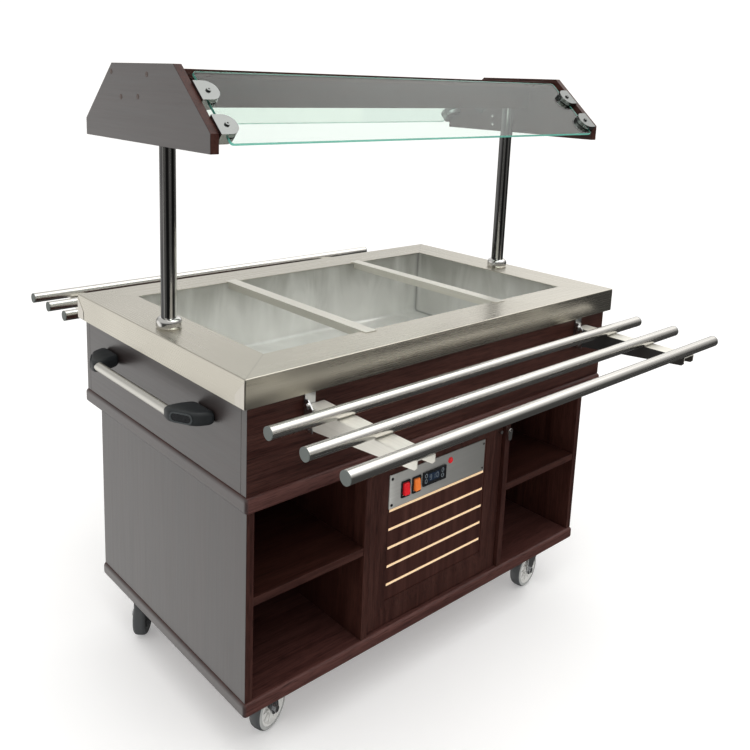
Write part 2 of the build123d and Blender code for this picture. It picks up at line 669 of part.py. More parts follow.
def make_controls():
    plate_y = PANEL_FACE_Y
    face_y = plate_y - PLATE_THICKNESS
    screw_inset = (7.0, 9.5)
    screw_radius = 3.2
    with BuildPart() as plate:
        with BuildSketch(front_plane(plate_y)):
            with Locations((PLATE_CENTRE_X, centred(PLATE_BOTTOM, PLATE_TOP))):
                RectangleRounded(2 * PLATE_HALF_X, PLATE_TOP - PLATE_BOTTOM, 2.0)
            for x in ROCKER_X:
                with Locations((x, ROCKER_Z)):
                    Rectangle(BEZEL_WIDTH - BODY_INSET, BEZEL_HEIGHT - BODY_INSET, mode=Mode.SUBTRACT)
            with Locations((CONTROLLER_X, CONTROLLER_Z)):
                width = CONTROLLER_WIDTH - BODY_INSET
                Rectangle(width, CONTROLLER_HEIGHT - BODY_INSET, mode=Mode.SUBTRACT)
            with Locations((LAMP_X, LAMP_Z)):
                Circle(LAMP_RADIUS - 1, mode=Mode.SUBTRACT)
        extrude(amount=PLATE_THICKNESS)
        fillet(plate.faces().sort_by(Axis.Y)[0].outer_wire().edges(), radius=1.0)
    save(plate, "control_plate")

    with BuildPart() as screws:
        for x in (-1, 1):
            for z in (PLATE_BOTTOM + screw_inset[1], PLATE_TOP - screw_inset[1]):
                at = (PLATE_CENTRE_X + x * (PLATE_HALF_X - screw_inset[0]), z)
                with BuildSketch(front_plane(face_y)):
                    with Locations(at):
                        Circle(screw_radius)
                extrude(amount=1.8, taper=20)
    save(screws, "plate_screws")

    lip = 2.0
    body_back = 22.0
    body_width = BEZEL_WIDTH - BODY_INSET
    pivot_y = face_y + ROCKER_PIVOT_INSET
    with BuildPart() as bezels:
        for x in ROCKER_X:
            with BuildSketch(front_plane(face_y)):
                with Locations((x, ROCKER_Z)):
                    RectangleRounded(BEZEL_WIDTH, BEZEL_HEIGHT, 1.5)
            extrude(amount=lip)
            with BuildSketch(front_plane(face_y)):
                with Locations((x, ROCKER_Z)):
                    Rectangle(body_width, BEZEL_HEIGHT - BODY_INSET)
            extrude(amount=-body_back)
            with BuildSketch(front_plane(face_y - lip)):
                with Locations((x, ROCKER_Z)):
                    Rectangle(ROCKER_WIDTH + 2 * GAP, ROCKER_HEIGHT + 2 * GAP)
            extrude(amount=-lip - body_back + 6.0, mode=Mode.SUBTRACT)
            with BuildSketch(Plane((x, pivot_y, ROCKER_Z), z_dir=(1, 0, 0))):
                Circle(NUB_RADIUS + RUN)
            extrude(amount=body_width / 2, both=True, mode=Mode.SUBTRACT)
    save(bezels, "switch_bezels")

    tilt = math.radians(ROCKER_TILT)
    for x, name in zip(ROCKER_X, ("red", "orange")):
        outward = (0, -math.cos(tilt), math.sin(tilt))
        rocker_plane = Plane((x, pivot_y, ROCKER_Z), x_dir=outward, z_dir=(1, 0, 0))
        half = ROCKER_HEIGHT / 2 - 1.5
        root = half * 0.55
        with BuildPart() as rocker:
            with BuildSketch(rocker_plane):
                with BuildLine():
                    rear = Polyline((6.5, -half), (-8, -root), (-8, root), (6.5, half))
                    ThreePointArc(rear @ 1, (4.6, 0), rear @ 0)
                make_face()
            extrude(amount=ROCKER_WIDTH / 2, both=True)
            with BuildSketch(rocker_plane):
                Circle(NUB_RADIUS)
            extrude(amount=body_width / 2 - 0.5, both=True)
        save(rocker, f"rocker_{name}")

    with BuildPart() as controller:
        with BuildSketch(front_plane(face_y)):
            with Locations((CONTROLLER_X, CONTROLLER_Z)):
                RectangleRounded(CONTROLLER_WIDTH, CONTROLLER_HEIGHT, 2.0)
        extrude(amount=5.0)
        fillet(controller.faces().sort_by(Axis.Y)[0].edges(), radius=1.5)
        with BuildSketch(front_plane(face_y)):
            with Locations((CONTROLLER_X, CONTROLLER_Z)):
                Rectangle(CONTROLLER_WIDTH - BODY_INSET, CONTROLLER_HEIGHT - BODY_INSET)
        extrude(amount=-50.0)
    save(controller, "temperature_controller")

    with BuildPart() as lamp:
        with BuildSketch(front_plane(face_y)):
            with Locations((LAMP_X, LAMP_Z)):
                Circle(LAMP_RADIUS + 1)
        extrude(amount=1.5)
        with BuildSketch(front_plane(face_y - 1.5)):
            with Locations((LAMP_X, LAMP_Z)):
                Circle(LAMP_RADIUS)
        extrude(amount=4.0, taper=12)
        with BuildSketch(front_plane(face_y)):
            with Locations((LAMP_X, LAMP_Z)):
                Circle(LAMP_RADIUS - 1.1)
        extrude(amount=-24.0)
    save(lamp, "pilot_lamp")


def make_door_furniture():
    axis_x = -DOOR_HALF_X + DOOR_AXIS_INSET
    axis_y = DOOR_FRONT_Y + DOOR_AXIS_INSET
    with BuildPart() as pins:
        for bottom, top in ((BASE_TOP, DOOR_BOTTOM + PIN_DEPTH), (DOOR_TOP - PIN_DEPTH, LEDGE_BOTTOM)):
            with BuildSketch(Plane.XY.offset(bottom)):
                with Locations((axis_x, axis_y)):
                    Circle(PIN_RADIUS)
            extrude(amount=top - bottom)
    save(pins, "door_pivot_pins")

    with BuildPart() as stud:
        with BuildSketch(front_plane(DOOR_FRONT_Y)):
            with Locations((STUD_X, BUTTON_Z)):
                Circle(4.5)
        extrude(amount=STUD_LENGTH)
    save(stud, "door_stud")

    half_width = 8.0
    tip = 25.0
    tip_half = 6.0
    tip_shoulder = 21.0
    shank_radius = 2.5
    button_back = front_plane(-CABINET_HALF_Y - GAP)
    with BuildPart() as button:
        with BuildSketch(button_back):
            with BuildLine():
                crown = ThreePointArc(
                    (BUTTON_X - half_width, BUTTON_Z),
                    (BUTTON_X, BUTTON_Z + half_width),
                    (BUTTON_X + half_width, BUTTON_Z),
                )
                flank = Line(crown @ 1, (BUTTON_X + tip_half, BUTTON_Z - tip_shoulder))
                nose = ThreePointArc(
                    flank @ 1,
                    (BUTTON_X, BUTTON_Z - tip),
                    (BUTTON_X - tip_half, BUTTON_Z - tip_shoulder),
                )
                Line(nose @ 1, crown @ 0)
            make_face()
        extrude(amount=BUTTON_THICKNESS)
        fillet(button.faces().sort_by(Axis.Y)[0].edges(), radius=2.0)
        with BuildSketch(button_back):
            with Locations((BUTTON_X, BUTTON_Z)):
                Circle(shank_radius + RUN)
        extrude(amount=BUTTON_THICKNESS, mode=Mode.SUBTRACT)
    save(button, "turn_button")

    head_start = GAP + BUTTON_THICKNESS + GAP
    with BuildPart() as screw:
        with BuildSketch(front_plane(-CABINET_HALF_Y)):
            with Locations((BUTTON_X, BUTTON_Z)):
                Circle(shank_radius)
        extrude(amount=head_start)
        with BuildSketch(front_plane(-CABINET_HALF_Y - head_start)):
            with Locations((BUTTON_X, BUTTON_Z)):
                Circle(4.5)
        extrude(amount=2.0, taper=25)
    save(screw, "turn_button_screw")


# ---------------------------------------------------------------- handles, tray rails, castors
def make_handles():
    with BuildPart() as bars:
        for side in (-1, 1):
            with BuildSketch(Plane((side * HANDLE_X, -HANDLE_HALF_Y, HANDLE_Z), z_dir=(0, 1, 0))):
                Circle(HANDLE_RADIUS)
            extrude(amount=2 * HANDLE_HALF_Y)
    save(bars, "handle_bars")

    socket_y = HANDLE_HALF_Y - 15
    reach = HANDLE_X - SURROUND_HALF_X
    outline = (
        (0, socket_y + 14),
        (reach - 16, socket_y),
        (reach + 14, socket_y),
        (reach + 14, socket_y + 42),
        (reach - 8, socket_y + 80),
        (0, socket_y + 88),
    )
    radii = (8, 8, 24, 14)
    with BuildPart() as brackets:
        for side in (-1, 1):
            for end in (-1, 1):
                points = [(side * (SURROUND_HALF_X + out), end * along) for out, along in outline]
                add(handle_bracket(points, radii).part)
                with BuildSketch(Plane((side * HANDLE_X, 0, HANDLE_Z), z_dir=(0, end, 0))):
                    Circle(HANDLE_RADIUS)
                extrude(amount=HANDLE_HALF_Y, mode=Mode.SUBTRACT)
    save(brackets, "handle_brackets")


def handle_bracket(points, radii):
    """One moulded socket block with softened upper and lower edges."""
    with BuildPart() as made:
        with BuildSketch(Plane.XY.offset(HANDLE_Z - HANDLE_HEIGHT / 2)):
            with BuildLine():
                edge = FilletPolyline(*points, radius=radii)
                Line(edge @ 1, edge @ 0)
            make_face()
        extrude(amount=HANDLE_HEIGHT)
        chamfer(made.faces().sort_by(Axis.Z)[-1].edges(), length=2.0)
        chamfer(made.faces().sort_by(Axis.Z)[0].edges(), length=2.0)
    return made


def channel(centre, side):
    """A tapering channel of bent sheet, open below, that carries the tray rail's tubes."""
    outside = ARM_WIDTH / 2
    deck = TUBE_Z - TUBE_RADIUS
    flank = (
        (side * ARM_ROOT_Y, deck),
        (side * ARM_TIP_Y, deck),
        (side * ARM_TIP_Y, deck - ARM_TIP_DEPTH + ARM_TIP_CHAMFER),
        (side * (ARM_TIP_Y - ARM_TIP_CHAMFER), deck - ARM_TIP_DEPTH),
        (side * HINGE_Y, HINGE_Z - HINGE_EYE),
        (side * (HINGE_Y - HINGE_EYE * 0.7), HINGE_Z - HINGE_EYE * 0.7),
        (side * (HINGE_Y - HINGE_EYE), HINGE_Z),
    )
    with BuildPart() as made:
        with BuildSketch(Plane((centre - outside, 0, 0), x_dir=(0, 1, 0), z_dir=(1, 0, 0))):
            Polygon(*flank, align=None)
        extrude(amount=ARM_WIDTH)
        long_edges = made.edges().filter_by(Axis.Y).group_by(Axis.Z)[-1]
        fillet(long_edges, radius=3.0)
        with BuildSketch(Plane((centre - outside + ARM_SHEET, 0, 0), x_dir=(0, 1, 0), z_dir=(1, 0, 0))):
            Polygon(
                (side * (ARM_ROOT_Y - ARM_WIDTH), deck - ARM_SHEET),
                (side * (ARM_TIP_Y + ARM_WIDTH), deck - ARM_SHEET),
                (side * (ARM_TIP_Y + ARM_WIDTH), EAR_BOTTOM - ARM_WIDTH),
                (side * (ARM_ROOT_Y - ARM_WIDTH), EAR_BOTTOM - ARM_WIDTH),
                align=None,
            )
        extrude(amount=ARM_WIDTH - 2 * ARM_SHEET, mode=Mode.SUBTRACT)
        with BuildSketch(Plane((centre, side * HINGE_Y, HINGE_Z), z_dir=(1, 0, 0))):
            Circle(HINGE_BOLT + RUN)
        extrude(amount=ARM_WIDTH, both=True, mode=Mode.SUBTRACT)
    return made


def make_tray(side, name):
    """A fold-down rail of three tubes welded on two channel arms."""
    with BuildPart() as arms:
        for centre in ARM_CENTRES:
            add(channel(-side * centre, side).part)
    save(arms, f"{name}_tray_arms")

    tube_half = TUBE_HALF_X - CAP_HEAD
    bore = TUBE_RADIUS - TUBE_WALL
    with BuildPart() as tubes:
        for y in TUBE_Y:
            with BuildSketch(Plane((-tube_half, side * y, TUBE_Z), z_dir=(1, 0, 0))):
                Circle(TUBE_RADIUS)
                Circle(bore, mode=Mode.SUBTRACT)
            extrude(amount=2 * tube_half)
    save(tubes, f"{name}_tray_tubes")

    with BuildPart() as caps:
        for y in TUBE_Y:
            for end in (-1, 1):
                plane = Plane((end * tube_half, side * y, TUBE_Z), z_dir=(end, 0, 0))
                with BuildSketch(plane):
                    Circle(TUBE_RADIUS)
                extrude(amount=CAP_HEAD)
                with BuildSketch(plane):
                    Circle(bore)
                extrude(amount=-CAP_PLUG)
    save(caps, f"{name}_tray_caps")


def make_tray_brackets():
    """Four wall brackets of bent sheet: a U round the arm's root and a taller ear with a lock bolt."""
    inner = ARM_WIDTH / 2 + 2 * GAP
    outer = inner + EAR_SHEET
    reach = EAR_OUT_Y - SURROUND_HALF_Y
    head_radius = 7.0
    head_height = 5.0
    with BuildPart() as brackets:
        for side in (-1, 1):
            for arm in ARM_CENTRES:
                centre = -side * arm
                tall_side = centre + side * outer
                with BuildSketch(Plane.XY.offset(EAR_BOTTOM)):
                    with Locations((centre, side * (SURROUND_HALF_Y + reach / 2))):
                        Rectangle(2 * outer, reach)
                    with Locations((centre, side * (EAR_OUT_Y - (reach - EAR_SHEET) / 2))):
                        Rectangle(2 * inner, reach - EAR_SHEET, mode=Mode.SUBTRACT)
                extrude(amount=EAR_TOP - EAR_BOTTOM)
                tab_at = (tall_side - side * LOCK_TAB_WIDTH / 2, side * (SURROUND_HALF_Y + EAR_SHEET / 2))
                with BuildSketch(Plane.XY.offset(EAR_TOP)):
                    with Locations(tab_at):
                        Rectangle(LOCK_TAB_WIDTH, EAR_SHEET)
                extrude(amount=LOCK_TAB_TOP - EAR_TOP)
                ear_profile = (
                    (side * SURROUND_HALF_Y, EAR_TOP),
                    (side * EAR_OUT_Y, EAR_TOP),
                    (side * (EAR_OUT_Y - EAR_CHAMFER), LOCK_EAR_TOP),
                    (side * SURROUND_HALF_Y, LOCK_EAR_TOP),
                )
                with BuildSketch(Plane((tall_side, 0, 0), x_dir=(0, 1, 0), z_dir=(1, 0, 0))):
                    Polygon(*ear_profile, align=None)
                extrude(amount=-side * EAR_SHEET)
        for side in (-1, 1):
            for arm in ARM_CENTRES:
                centre = -side * arm
                with BuildSketch(Plane((centre, side * HINGE_Y, HINGE_Z), z_dir=(1, 0, 0))):
                    Circle(HINGE_BOLT + RUN)
                extrude(amount=outer + 1.0, both=True, mode=Mode.SUBTRACT)

    with BuildPart() as bolts:
        for side in (-1, 1):
            for arm in ARM_CENTRES:
                centre = -side * arm
                seat = outer + RUN
                with BuildSketch(Plane((centre, side * HINGE_Y, HINGE_Z), z_dir=(1, 0, 0))):
                    Circle(HINGE_BOLT)
                extrude(amount=seat, both=True)
                for end in (-1, 1):
                    head = Plane((centre + end * seat, side * HINGE_Y, HINGE_Z), z_dir=(end, 0, 0))
                    with BuildSketch(head):
                        Circle(head_radius)
                    extrude(amount=head_height, taper=20)
                lock = Plane((centre + side * seat, side * LOCK_BOLT_Y, LOCK_BOLT_Z), z_dir=(side, 0, 0))
                with BuildSketch(lock):
                    Circle(head_radius)
                extrude(amount=head_height, taper=20)
    with BuildPart() as assembled:
        add([brackets.part, bolts.part])
    save(assembled, "tray_brackets")


def make_castor_mounts():
    plate_long = 95.0
    plate_wide = 85.0
    cup_radius = 25.0
    with BuildPart() as mounts:
        for _, side_x, side_y, _ in CASTORS:
            at = (side_x * CASTOR_X, side_y * CASTOR_Y)
            with BuildSketch(Plane.XY.offset(BASE_BOTTOM)):
                with Locations(at):
                    RectangleRounded(plate_long, plate_wide, 6.0)
            extrude(amount=-PLATE_SHEET)
            with BuildSketch(Plane.XY.offset(BASE_BOTTOM - PLATE_SHEET)):
                with Locations(at):
                    Circle(cup_radius)
            extrude(amount=CUP_BOTTOM - BASE_BOTTOM + PLATE_SHEET, taper=12)
            with BuildSketch(Plane.XY.offset(CUP_BOTTOM)):
                with Locations(at):
                    Circle(KINGPIN_RADIUS)
            pin_bottom = YOKE_TOP - FORK_SHEET - GAP
            extrude(amount=pin_bottom - CUP_BOTTOM)
            with BuildSketch(Plane.XY.offset(pin_bottom)):
                with Locations(at):
                    RegularPolygon(8.5, 6)
            extrude(amount=-7.0)
    save(mounts, "castor_mounts")


def make_castor(name, x, y, heading):
    """A swivel fork with its axle bolt, and the wheel that trails behind the pivot."""
    turn = math.radians(heading)
    ahead = (math.cos(turn), math.sin(turn), 0)
    axle_dir = (-math.sin(turn), math.cos(turn), 0)
    hub = Vector(x, y, WHEEL_RADIUS) + Vector(*ahead) * TRAIL
    half = FORK_INNER + FORK_SHEET
    head_radius = 23.0
    eye = 12.0

    def level(z):
        return Plane((x, y, z), x_dir=ahead, z_dir=(0, 0, 1))

    def along_axle(offset):
        return Plane(hub + Vector(*axle_dir) * offset, x_dir=ahead, z_dir=axle_dir)

    def flank(offset):
        middle = Vector(x, y, 0) + Vector(*axle_dir) * offset
        return Plane(middle, x_dir=ahead, z_dir=Vector(*axle_dir) * -1)

    with BuildPart() as fork:
        with BuildSketch(level(YOKE_TOP)):
            Circle(head_radius)
        extrude(amount=CUP_BOTTOM - GAP - YOKE_TOP)
        fillet(fork.faces().sort_by(Axis.Z)[-1].edges(), radius=3.0)
        with BuildSketch(level(YOKE_TOP)):
            with Locations((TRAIL / 2 - 5, 0)):
                RectangleRounded(TRAIL + 26, 2 * half, 5.0)
        extrude(amount=-FORK_SHEET)
        for end in (-1, 1):
            with BuildSketch(flank(end * half)):
                Polygon(
                    (-16, YOKE_TOP),
                    (TRAIL + 6, YOKE_TOP),
                    (TRAIL + eye, WHEEL_RADIUS),
                    (TRAIL - eye, WHEEL_RADIUS),
                    align=None,
                )
                with Locations((TRAIL, WHEEL_RADIUS)):
                    Circle(eye)
                    Circle(AXLE_RADIUS + RUN, mode=Mode.SUBTRACT)
            extrude(amount=end * FORK_SHEET)
        with BuildSketch(level(CUP_BOTTOM)):
            Circle(KINGPIN_RADIUS + RUN)
        extrude(amount=YOKE_TOP - FORK_SHEET - CUP_BOTTOM - 1, mode=Mode.SUBTRACT)
    with BuildPart() as axle:
        with BuildSketch(along_axle(-half - RUN)):
            Circle(AXLE_RADIUS)
        extrude(amount=2 * (half + RUN))
        for end in (-1, 1):
            with BuildSketch(along_axle(end * (half + RUN))):
                RegularPolygon(8.0, 6)
            extrude(amount=end * 5.0)
    with BuildPart() as whole:
        add([fork.part, axle.part])
    save(whole, f"fork_{name}")

    rim = WHEEL_RADIUS - 12.0
    web = 4.0
    boss = 12.0
    half_width = WHEEL_WIDTH / 2
    inset = 1.5
    profile_plane = Plane(hub, x_dir=ahead, z_dir=Vector(*ahead).cross(Vector(*axle_dir)))
    shoulder = 5.0
    with BuildPart() as hub_part:
        with BuildSketch(profile_plane):
            Polygon(
                (AXLE_RADIUS + RUN, -half_width),
                (boss, -half_width),
                (boss + 2, -web),
                (rim - 5, -web),
                (rim - 3, -half_width + inset),
                (rim, -half_width + inset),
                (rim, half_width - inset),
                (rim - 3, half_width - inset),
                (rim - 5, web),
                (boss + 2, web),
                (boss, half_width),
                (AXLE_RADIUS + RUN, half_width),
                align=None,
            )
        revolve(axis=Axis(hub, axle_dir))
    with BuildPart() as tyre:
        with BuildSketch(profile_plane):
            Polygon(
                (rim + RUN, -half_width + inset),
                (rim + 2, -half_width),
                (WHEEL_RADIUS - shoulder, -half_width),
                (WHEEL_RADIUS - 1.5, -half_width + 1.5),
                (WHEEL_RADIUS, -half_width + shoulder),
                (WHEEL_RADIUS, half_width - shoulder),
                (WHEEL_RADIUS - 1.5, half_width - 1.5),
                (WHEEL_RADIUS - shoulder, half_width),
                (rim + 2, half_width),
                (rim + RUN, half_width - inset),
                align=None,
            )
        revolve(axis=Axis(hub, axle_dir))
    with BuildPart() as wheel:
        add([hub_part.part, tyre.part])
    save(wheel, f"wheel_{name}")


def run_all():
    make_cabinet()
    make_surround()
    make_worktop()
    floor_z = make_tank()
    make_heating(floor_z)
    make_drain(floor_z)
    make_bars()
    make_posts()
    make_canopy()
    make_lamp()
    make_glass()
    make_door()
    make_controls()
    make_door_furniture()
    make_handles()
    make_tray(-1, "front")
    make_tray(1, "back")
    make_tray_brackets()
    make_castor_mounts()
    for name, side_x, side_y, heading in CASTORS:
        make_castor(name, side_x * CASTOR_X, side_y * CASTOR_Y, heading)


run_all()
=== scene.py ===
import math

import bmesh
import bpy
from mathutils import Matrix, Vector

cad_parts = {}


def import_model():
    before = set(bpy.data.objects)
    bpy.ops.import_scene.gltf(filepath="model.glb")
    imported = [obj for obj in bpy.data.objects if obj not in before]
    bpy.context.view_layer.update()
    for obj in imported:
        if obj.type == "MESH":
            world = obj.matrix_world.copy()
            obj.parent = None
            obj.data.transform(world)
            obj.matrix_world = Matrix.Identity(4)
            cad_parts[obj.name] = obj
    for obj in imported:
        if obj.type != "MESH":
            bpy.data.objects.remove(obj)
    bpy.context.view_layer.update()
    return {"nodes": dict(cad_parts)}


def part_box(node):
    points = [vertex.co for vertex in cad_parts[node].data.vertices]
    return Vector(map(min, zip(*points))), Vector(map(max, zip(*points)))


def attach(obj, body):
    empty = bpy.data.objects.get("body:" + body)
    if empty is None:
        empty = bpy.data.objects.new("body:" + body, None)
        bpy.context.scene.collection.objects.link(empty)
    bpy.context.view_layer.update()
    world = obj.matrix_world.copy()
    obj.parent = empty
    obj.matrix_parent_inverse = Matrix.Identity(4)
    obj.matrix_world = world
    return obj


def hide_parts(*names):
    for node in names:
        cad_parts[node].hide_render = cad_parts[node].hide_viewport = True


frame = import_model()
NODES = frame["nodes"]
Z = Vector((0, 0, 1))


# ------------------------------------------------------------------ material helpers
class Paint:
    """A node material under construction: a Principled shader and short calls for the usual nodes."""

    def __init__(self, name):
        self.mat = bpy.data.materials.new(name)
        self.mat.use_nodes = True
        self.tree = self.mat.node_tree
        self.tree.nodes.clear()
        self.out = self.tree.nodes.new("ShaderNodeOutputMaterial")
        self.bsdf = self.tree.nodes.new("ShaderNodeBsdfPrincipled")
        self.tree.links.new(self.bsdf.outputs[0], self.out.inputs[0])
        self.coords = self.tree.nodes.new("ShaderNodeTexCoord").outputs["Object"]

    def put(self, name, value):
        socket = self.bsdf.inputs[name]
        if isinstance(value, bpy.types.NodeSocket):
            self.tree.links.new(value, socket)
        else:
            socket.default_value = value

    def wire(self, value, socket):
        if isinstance(value, bpy.types.NodeSocket):
            self.tree.links.new(value, socket)
        else:
            socket.default_value = value

    def stretched(self, scale):
        node = self.tree.nodes.new("ShaderNodeMapping")
        self.tree.links.new(self.coords, node.inputs["Vector"])
        node.inputs["Scale"].default_value = scale
        return node.outputs[0]

    def noise(self, scale, detail=4.0, rough=0.55, distort=0.0, size=1.0):
        node = self.tree.nodes.new("ShaderNodeTexNoise")
        self.tree.links.new(self.stretched(scale), node.inputs["Vector"])
        node.inputs["Scale"].default_value = size
        node.inputs["Detail"].default_value = detail
        node.inputs["Roughness"].default_value = rough
        node.inputs["Distortion"].default_value = distort
        return node.outputs["Fac"]

    def ramp(self, value, stops):
        node = self.tree.nodes.new("ShaderNodeValToRGB")
        self.tree.links.new(value, node.inputs[0])
        points = node.color_ramp.elements
        while len(points) < len(stops):
            points.new(0.5)
        for point, (at, colour) in zip(points, stops):
            point.position = at
            point.color = (*colour, 1.0) if not isinstance(colour, float) else (colour, colour, colour, 1.0)
        return node.outputs[0]

    def remap(self, value, low, high, to_low, to_high):
        node = self.tree.nodes.new("ShaderNodeMapRange")
        for socket, item in zip(node.inputs, (value, low, high, to_low, to_high)):
            self.wire(item, socket)
        return node.outputs[0]

    def math(self, kind, a, b=0.0):
        node = self.tree.nodes.new("ShaderNodeMath")
        node.operation = kind
        self.wire(a, node.inputs[0])
        self.wire(b, node.inputs[1])
        return node.outputs[0]

    def mix(self, factor, a, b, kind="MIX"):
        node = self.tree.nodes.new("ShaderNodeMix")
        node.data_type = "RGBA"
        node.blend_type = kind
        self.wire(factor, node.inputs[0])
        for socket, item in ((node.inputs[6], a), (node.inputs[7], b)):
            self.wire(item if isinstance(item, bpy.types.NodeSocket) else (*item, 1.0), socket)
        return node.outputs[2]

    def split(self, vector=None):
        node = self.tree.nodes.new("ShaderNodeSeparateXYZ")
        self.tree.links.new(vector or self.coords, node.inputs[0])
        return node.outputs

    def normal(self):
        node = self.tree.nodes.new("ShaderNodeNewGeometry")
        return self.split(node.outputs["Normal"])

    def bump(self, height, strength, distance):
        node = self.tree.nodes.new("ShaderNodeBump")
        node.inputs["Strength"].default_value = strength
        node.inputs["Distance"].default_value = distance
        self.tree.links.new(height, node.inputs["Height"])
        self.tree.links.new(node.outputs[0], self.bsdf.inputs["Normal"])


def stretch(grain, along, across):
    """Texture scale that runs long along one axis and fine across the others."""
    return tuple(along if axis == grain else across for axis in range(3))


def laminate(name, grain, base=(0.0270, 0.0080, 0.0062), light=(0.068, 0.026, 0.0195), sheen=0.34):
    """Dark wenge laminate: long pores, slow cathedral bands, and a painted grey sheen with a stronger coat on
    the left end's faces that look towards -X.
    """
    p = Paint(name)
    fibre = p.noise(stretch(grain, 5, 260), 6, 0.62, 0.3)
    bands = p.noise(stretch(grain, 1.6, 22), 3, 0.5, 1.6)
    pores = p.noise(stretch(grain, 28, 900), 3, 0.5)
    streak = p.math("MULTIPLY", fibre, bands)
    middle = tuple(0.5 * (a + b) for a, b in zip(base, light))
    tone = p.ramp(streak, ((0.12, base), (0.26, middle), (0.46, light)))
    pore_mask = p.ramp(pores, ((0.36, 0.45), (0.5, 1.0)))
    colour = p.mix(1.0, tone, pore_mask, "MULTIPLY")
    # Painted reflection: left-end faces (x < -0.5 m) that look towards -X are mixed 75 % towards grey as a
    # painted sheen.
    facing = p.remap(p.math("MULTIPLY", p.normal()[0], -1.0), 0.3, 0.95, 0.0, 1.0)
    painted_sheen = p.math("MULTIPLY", facing, p.math("LESS_THAN", p.split()[0], -0.5))
    p.put("Base Color", p.mix(p.math("MULTIPLY", painted_sheen, 0.75), colour, (0.022, 0.020, 0.020)))
    p.put("Roughness", p.remap(fibre, 0.3, 0.7, sheen - 0.05, sheen + 0.07))
    p.put("Specular IOR Level", p.remap(painted_sheen, 0.0, 1.0, 0.20, 0.8))
    p.put("Coat Weight", p.math("MULTIPLY", painted_sheen, 0.42))
    p.put("Coat Roughness", 0.38)
    p.bump(p.math("ADD", p.math("MULTIPLY", pores, 0.7), fibre), 0.18, 0.0004)
    return p.mat


def brushed(name, colour, grain=None, rough=0.3, depth=0.12, smudge=0.05, tint=0.06, metal=1.0):
    """Brushed stainless. grain is an axis, or None for a mitred frame whose four sides run lengthwise."""
    p = Paint(name)
    if grain is None:
        at = p.split()
        side_x = p.math("SUBTRACT", p.math("ABSOLUTE", at[0]), 0.4715)
        side_y = p.math("MULTIPLY", p.math("SUBTRACT", p.math("ABSOLUTE", at[1]), 0.255), 1.11)
        on_side = p.math("GREATER_THAN", side_x, side_y)
        run_x = p.noise((3.5, 620, 620), 5, 0.6)
        run_y = p.noise((620, 3.5, 620), 5, 0.6)
        lines = p.math("ADD", p.math("MULTIPLY", run_y, on_side),
                       p.math("MULTIPLY", run_x, p.math("SUBTRACT", 1.0, on_side)))
        seam = p.math("ABSOLUTE", p.math("SUBTRACT", side_x, side_y))
        seam = p.ramp(seam, ((0.0, 0.86), (0.0016, 1.0)))
    else:
        lines = p.noise(stretch(grain, 3.5, 620), 5, 0.6)
        seam = None
    cloud = p.noise((3.1, 3.1, 3.1), 3, 0.55, 0.6)
    scratch = p.noise(stretch(grain or 0, 1.2, 1500), 2, 0.4)
    shade = p.remap(lines, 0.3, 0.7, 1.0 - tint, 1.0 + tint)
    tone = p.mix(1.0, colour, p.ramp(p.math("MULTIPLY", shade, 0.5), ((0.0, 0.0), (1.0, 2.0))), "MULTIPLY")
    tone = p.mix(p.remap(cloud, 0.35, 0.7, 0.0, 0.35), tone, tuple(0.86 * c for c in colour))
    if seam is not None:
        tone = p.mix(1.0, tone, seam, "MULTIPLY")
    p.put("Base Color", tone)
    p.put("Metallic", metal)
    gloss = p.math("ADD", p.remap(lines, 0.3, 0.7, rough - 0.05, rough + 0.05),
                   p.remap(cloud, 0.3, 0.7, -smudge, smudge))
    p.put("Roughness", gloss)
    p.bump(p.math("ADD", lines, p.math("MULTIPLY", scratch, 0.4)), depth, 0.0003)
    return p.mat


def polished(name, colour=(0.72, 0.71, 0.69), rough=0.08):
    p = Paint(name)
    haze = p.noise((9, 9, 9), 4, 0.6, 0.4)
    wipe = p.noise((420, 420, 30), 3, 0.5)
    p.put("Base Color", p.mix(p.remap(haze, 0.35, 0.7, 0.0, 0.3), colour, tuple(0.8 * c for c in colour)))
    p.put("Metallic", 1.0)
    p.put("Roughness", p.remap(haze, 0.3, 0.7, rough - 0.03, rough + 0.05))
    p.bump(wipe, 0.03, 0.0002)
    return p.mat


def moulded(name, colour, rough=0.45, grain=1400, depth=0.12, wear=(0.0, 0.0, 0.0)):
    """Moulded plastic: fine erosion texture, faint flow clouds and slightly paler scuffs."""
    p = Paint(name)
    skin = p.noise((grain, grain, grain), 3, 0.5)
    cloud = p.noise((22, 22, 22), 4, 0.6, 0.5)
    scuff = p.ramp(p.noise((70, 240, 70), 5, 0.7, 0.8), ((0.58, 0.0), (0.74, 1.0)))
    paler = tuple(min(1.0, c * 1.25 + w + 0.006) for c, w in zip(colour, wear))
    tone = p.mix(p.remap(cloud, 0.35, 0.7, 0.0, 0.5), colour, tuple(0.85 * c for c in colour))
    p.put("Base Color", p.mix(p.math("MULTIPLY", scuff, 0.4), tone, paler))
    p.put("Roughness", p.remap(cloud, 0.3, 0.7, rough - 0.06, rough + 0.07))
    p.bump(skin, depth, 0.0002)
    return p.mat


# ------------------------------------------------------------------ mesh helpers
def publish(name, bm, mat, body, bevel=0.0, segments=3, smooth=35.0):
    """Turns a bmesh into a named piece that rides on a body."""
    bmesh.ops.recalc_face_normals(bm, faces=bm.faces)
    mesh = bpy.data.meshes.new(name)
    bm.to_mesh(mesh)
    bm.free()
    piece = bpy.data.objects.new(name, mesh)
    bpy.context.scene.collection.objects.link(piece)
    mats = mat if isinstance(mat, (list, tuple)) else [mat]
    for item in mats:
        mesh.materials.append(item)
    for face in mesh.polygons:
        face.use_smooth = True
    if bevel > 0:
        mod = piece.modifiers.new("edge", "BEVEL")
        mod.width = bevel
        mod.segments = segments
        mod.limit_method = "ANGLE"
        mod.angle_limit = math.radians(30)
        mod.harden_normals = True
    mesh.set_sharp_from_angle(angle=math.radians(smooth))
    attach(piece, body)
    return piece


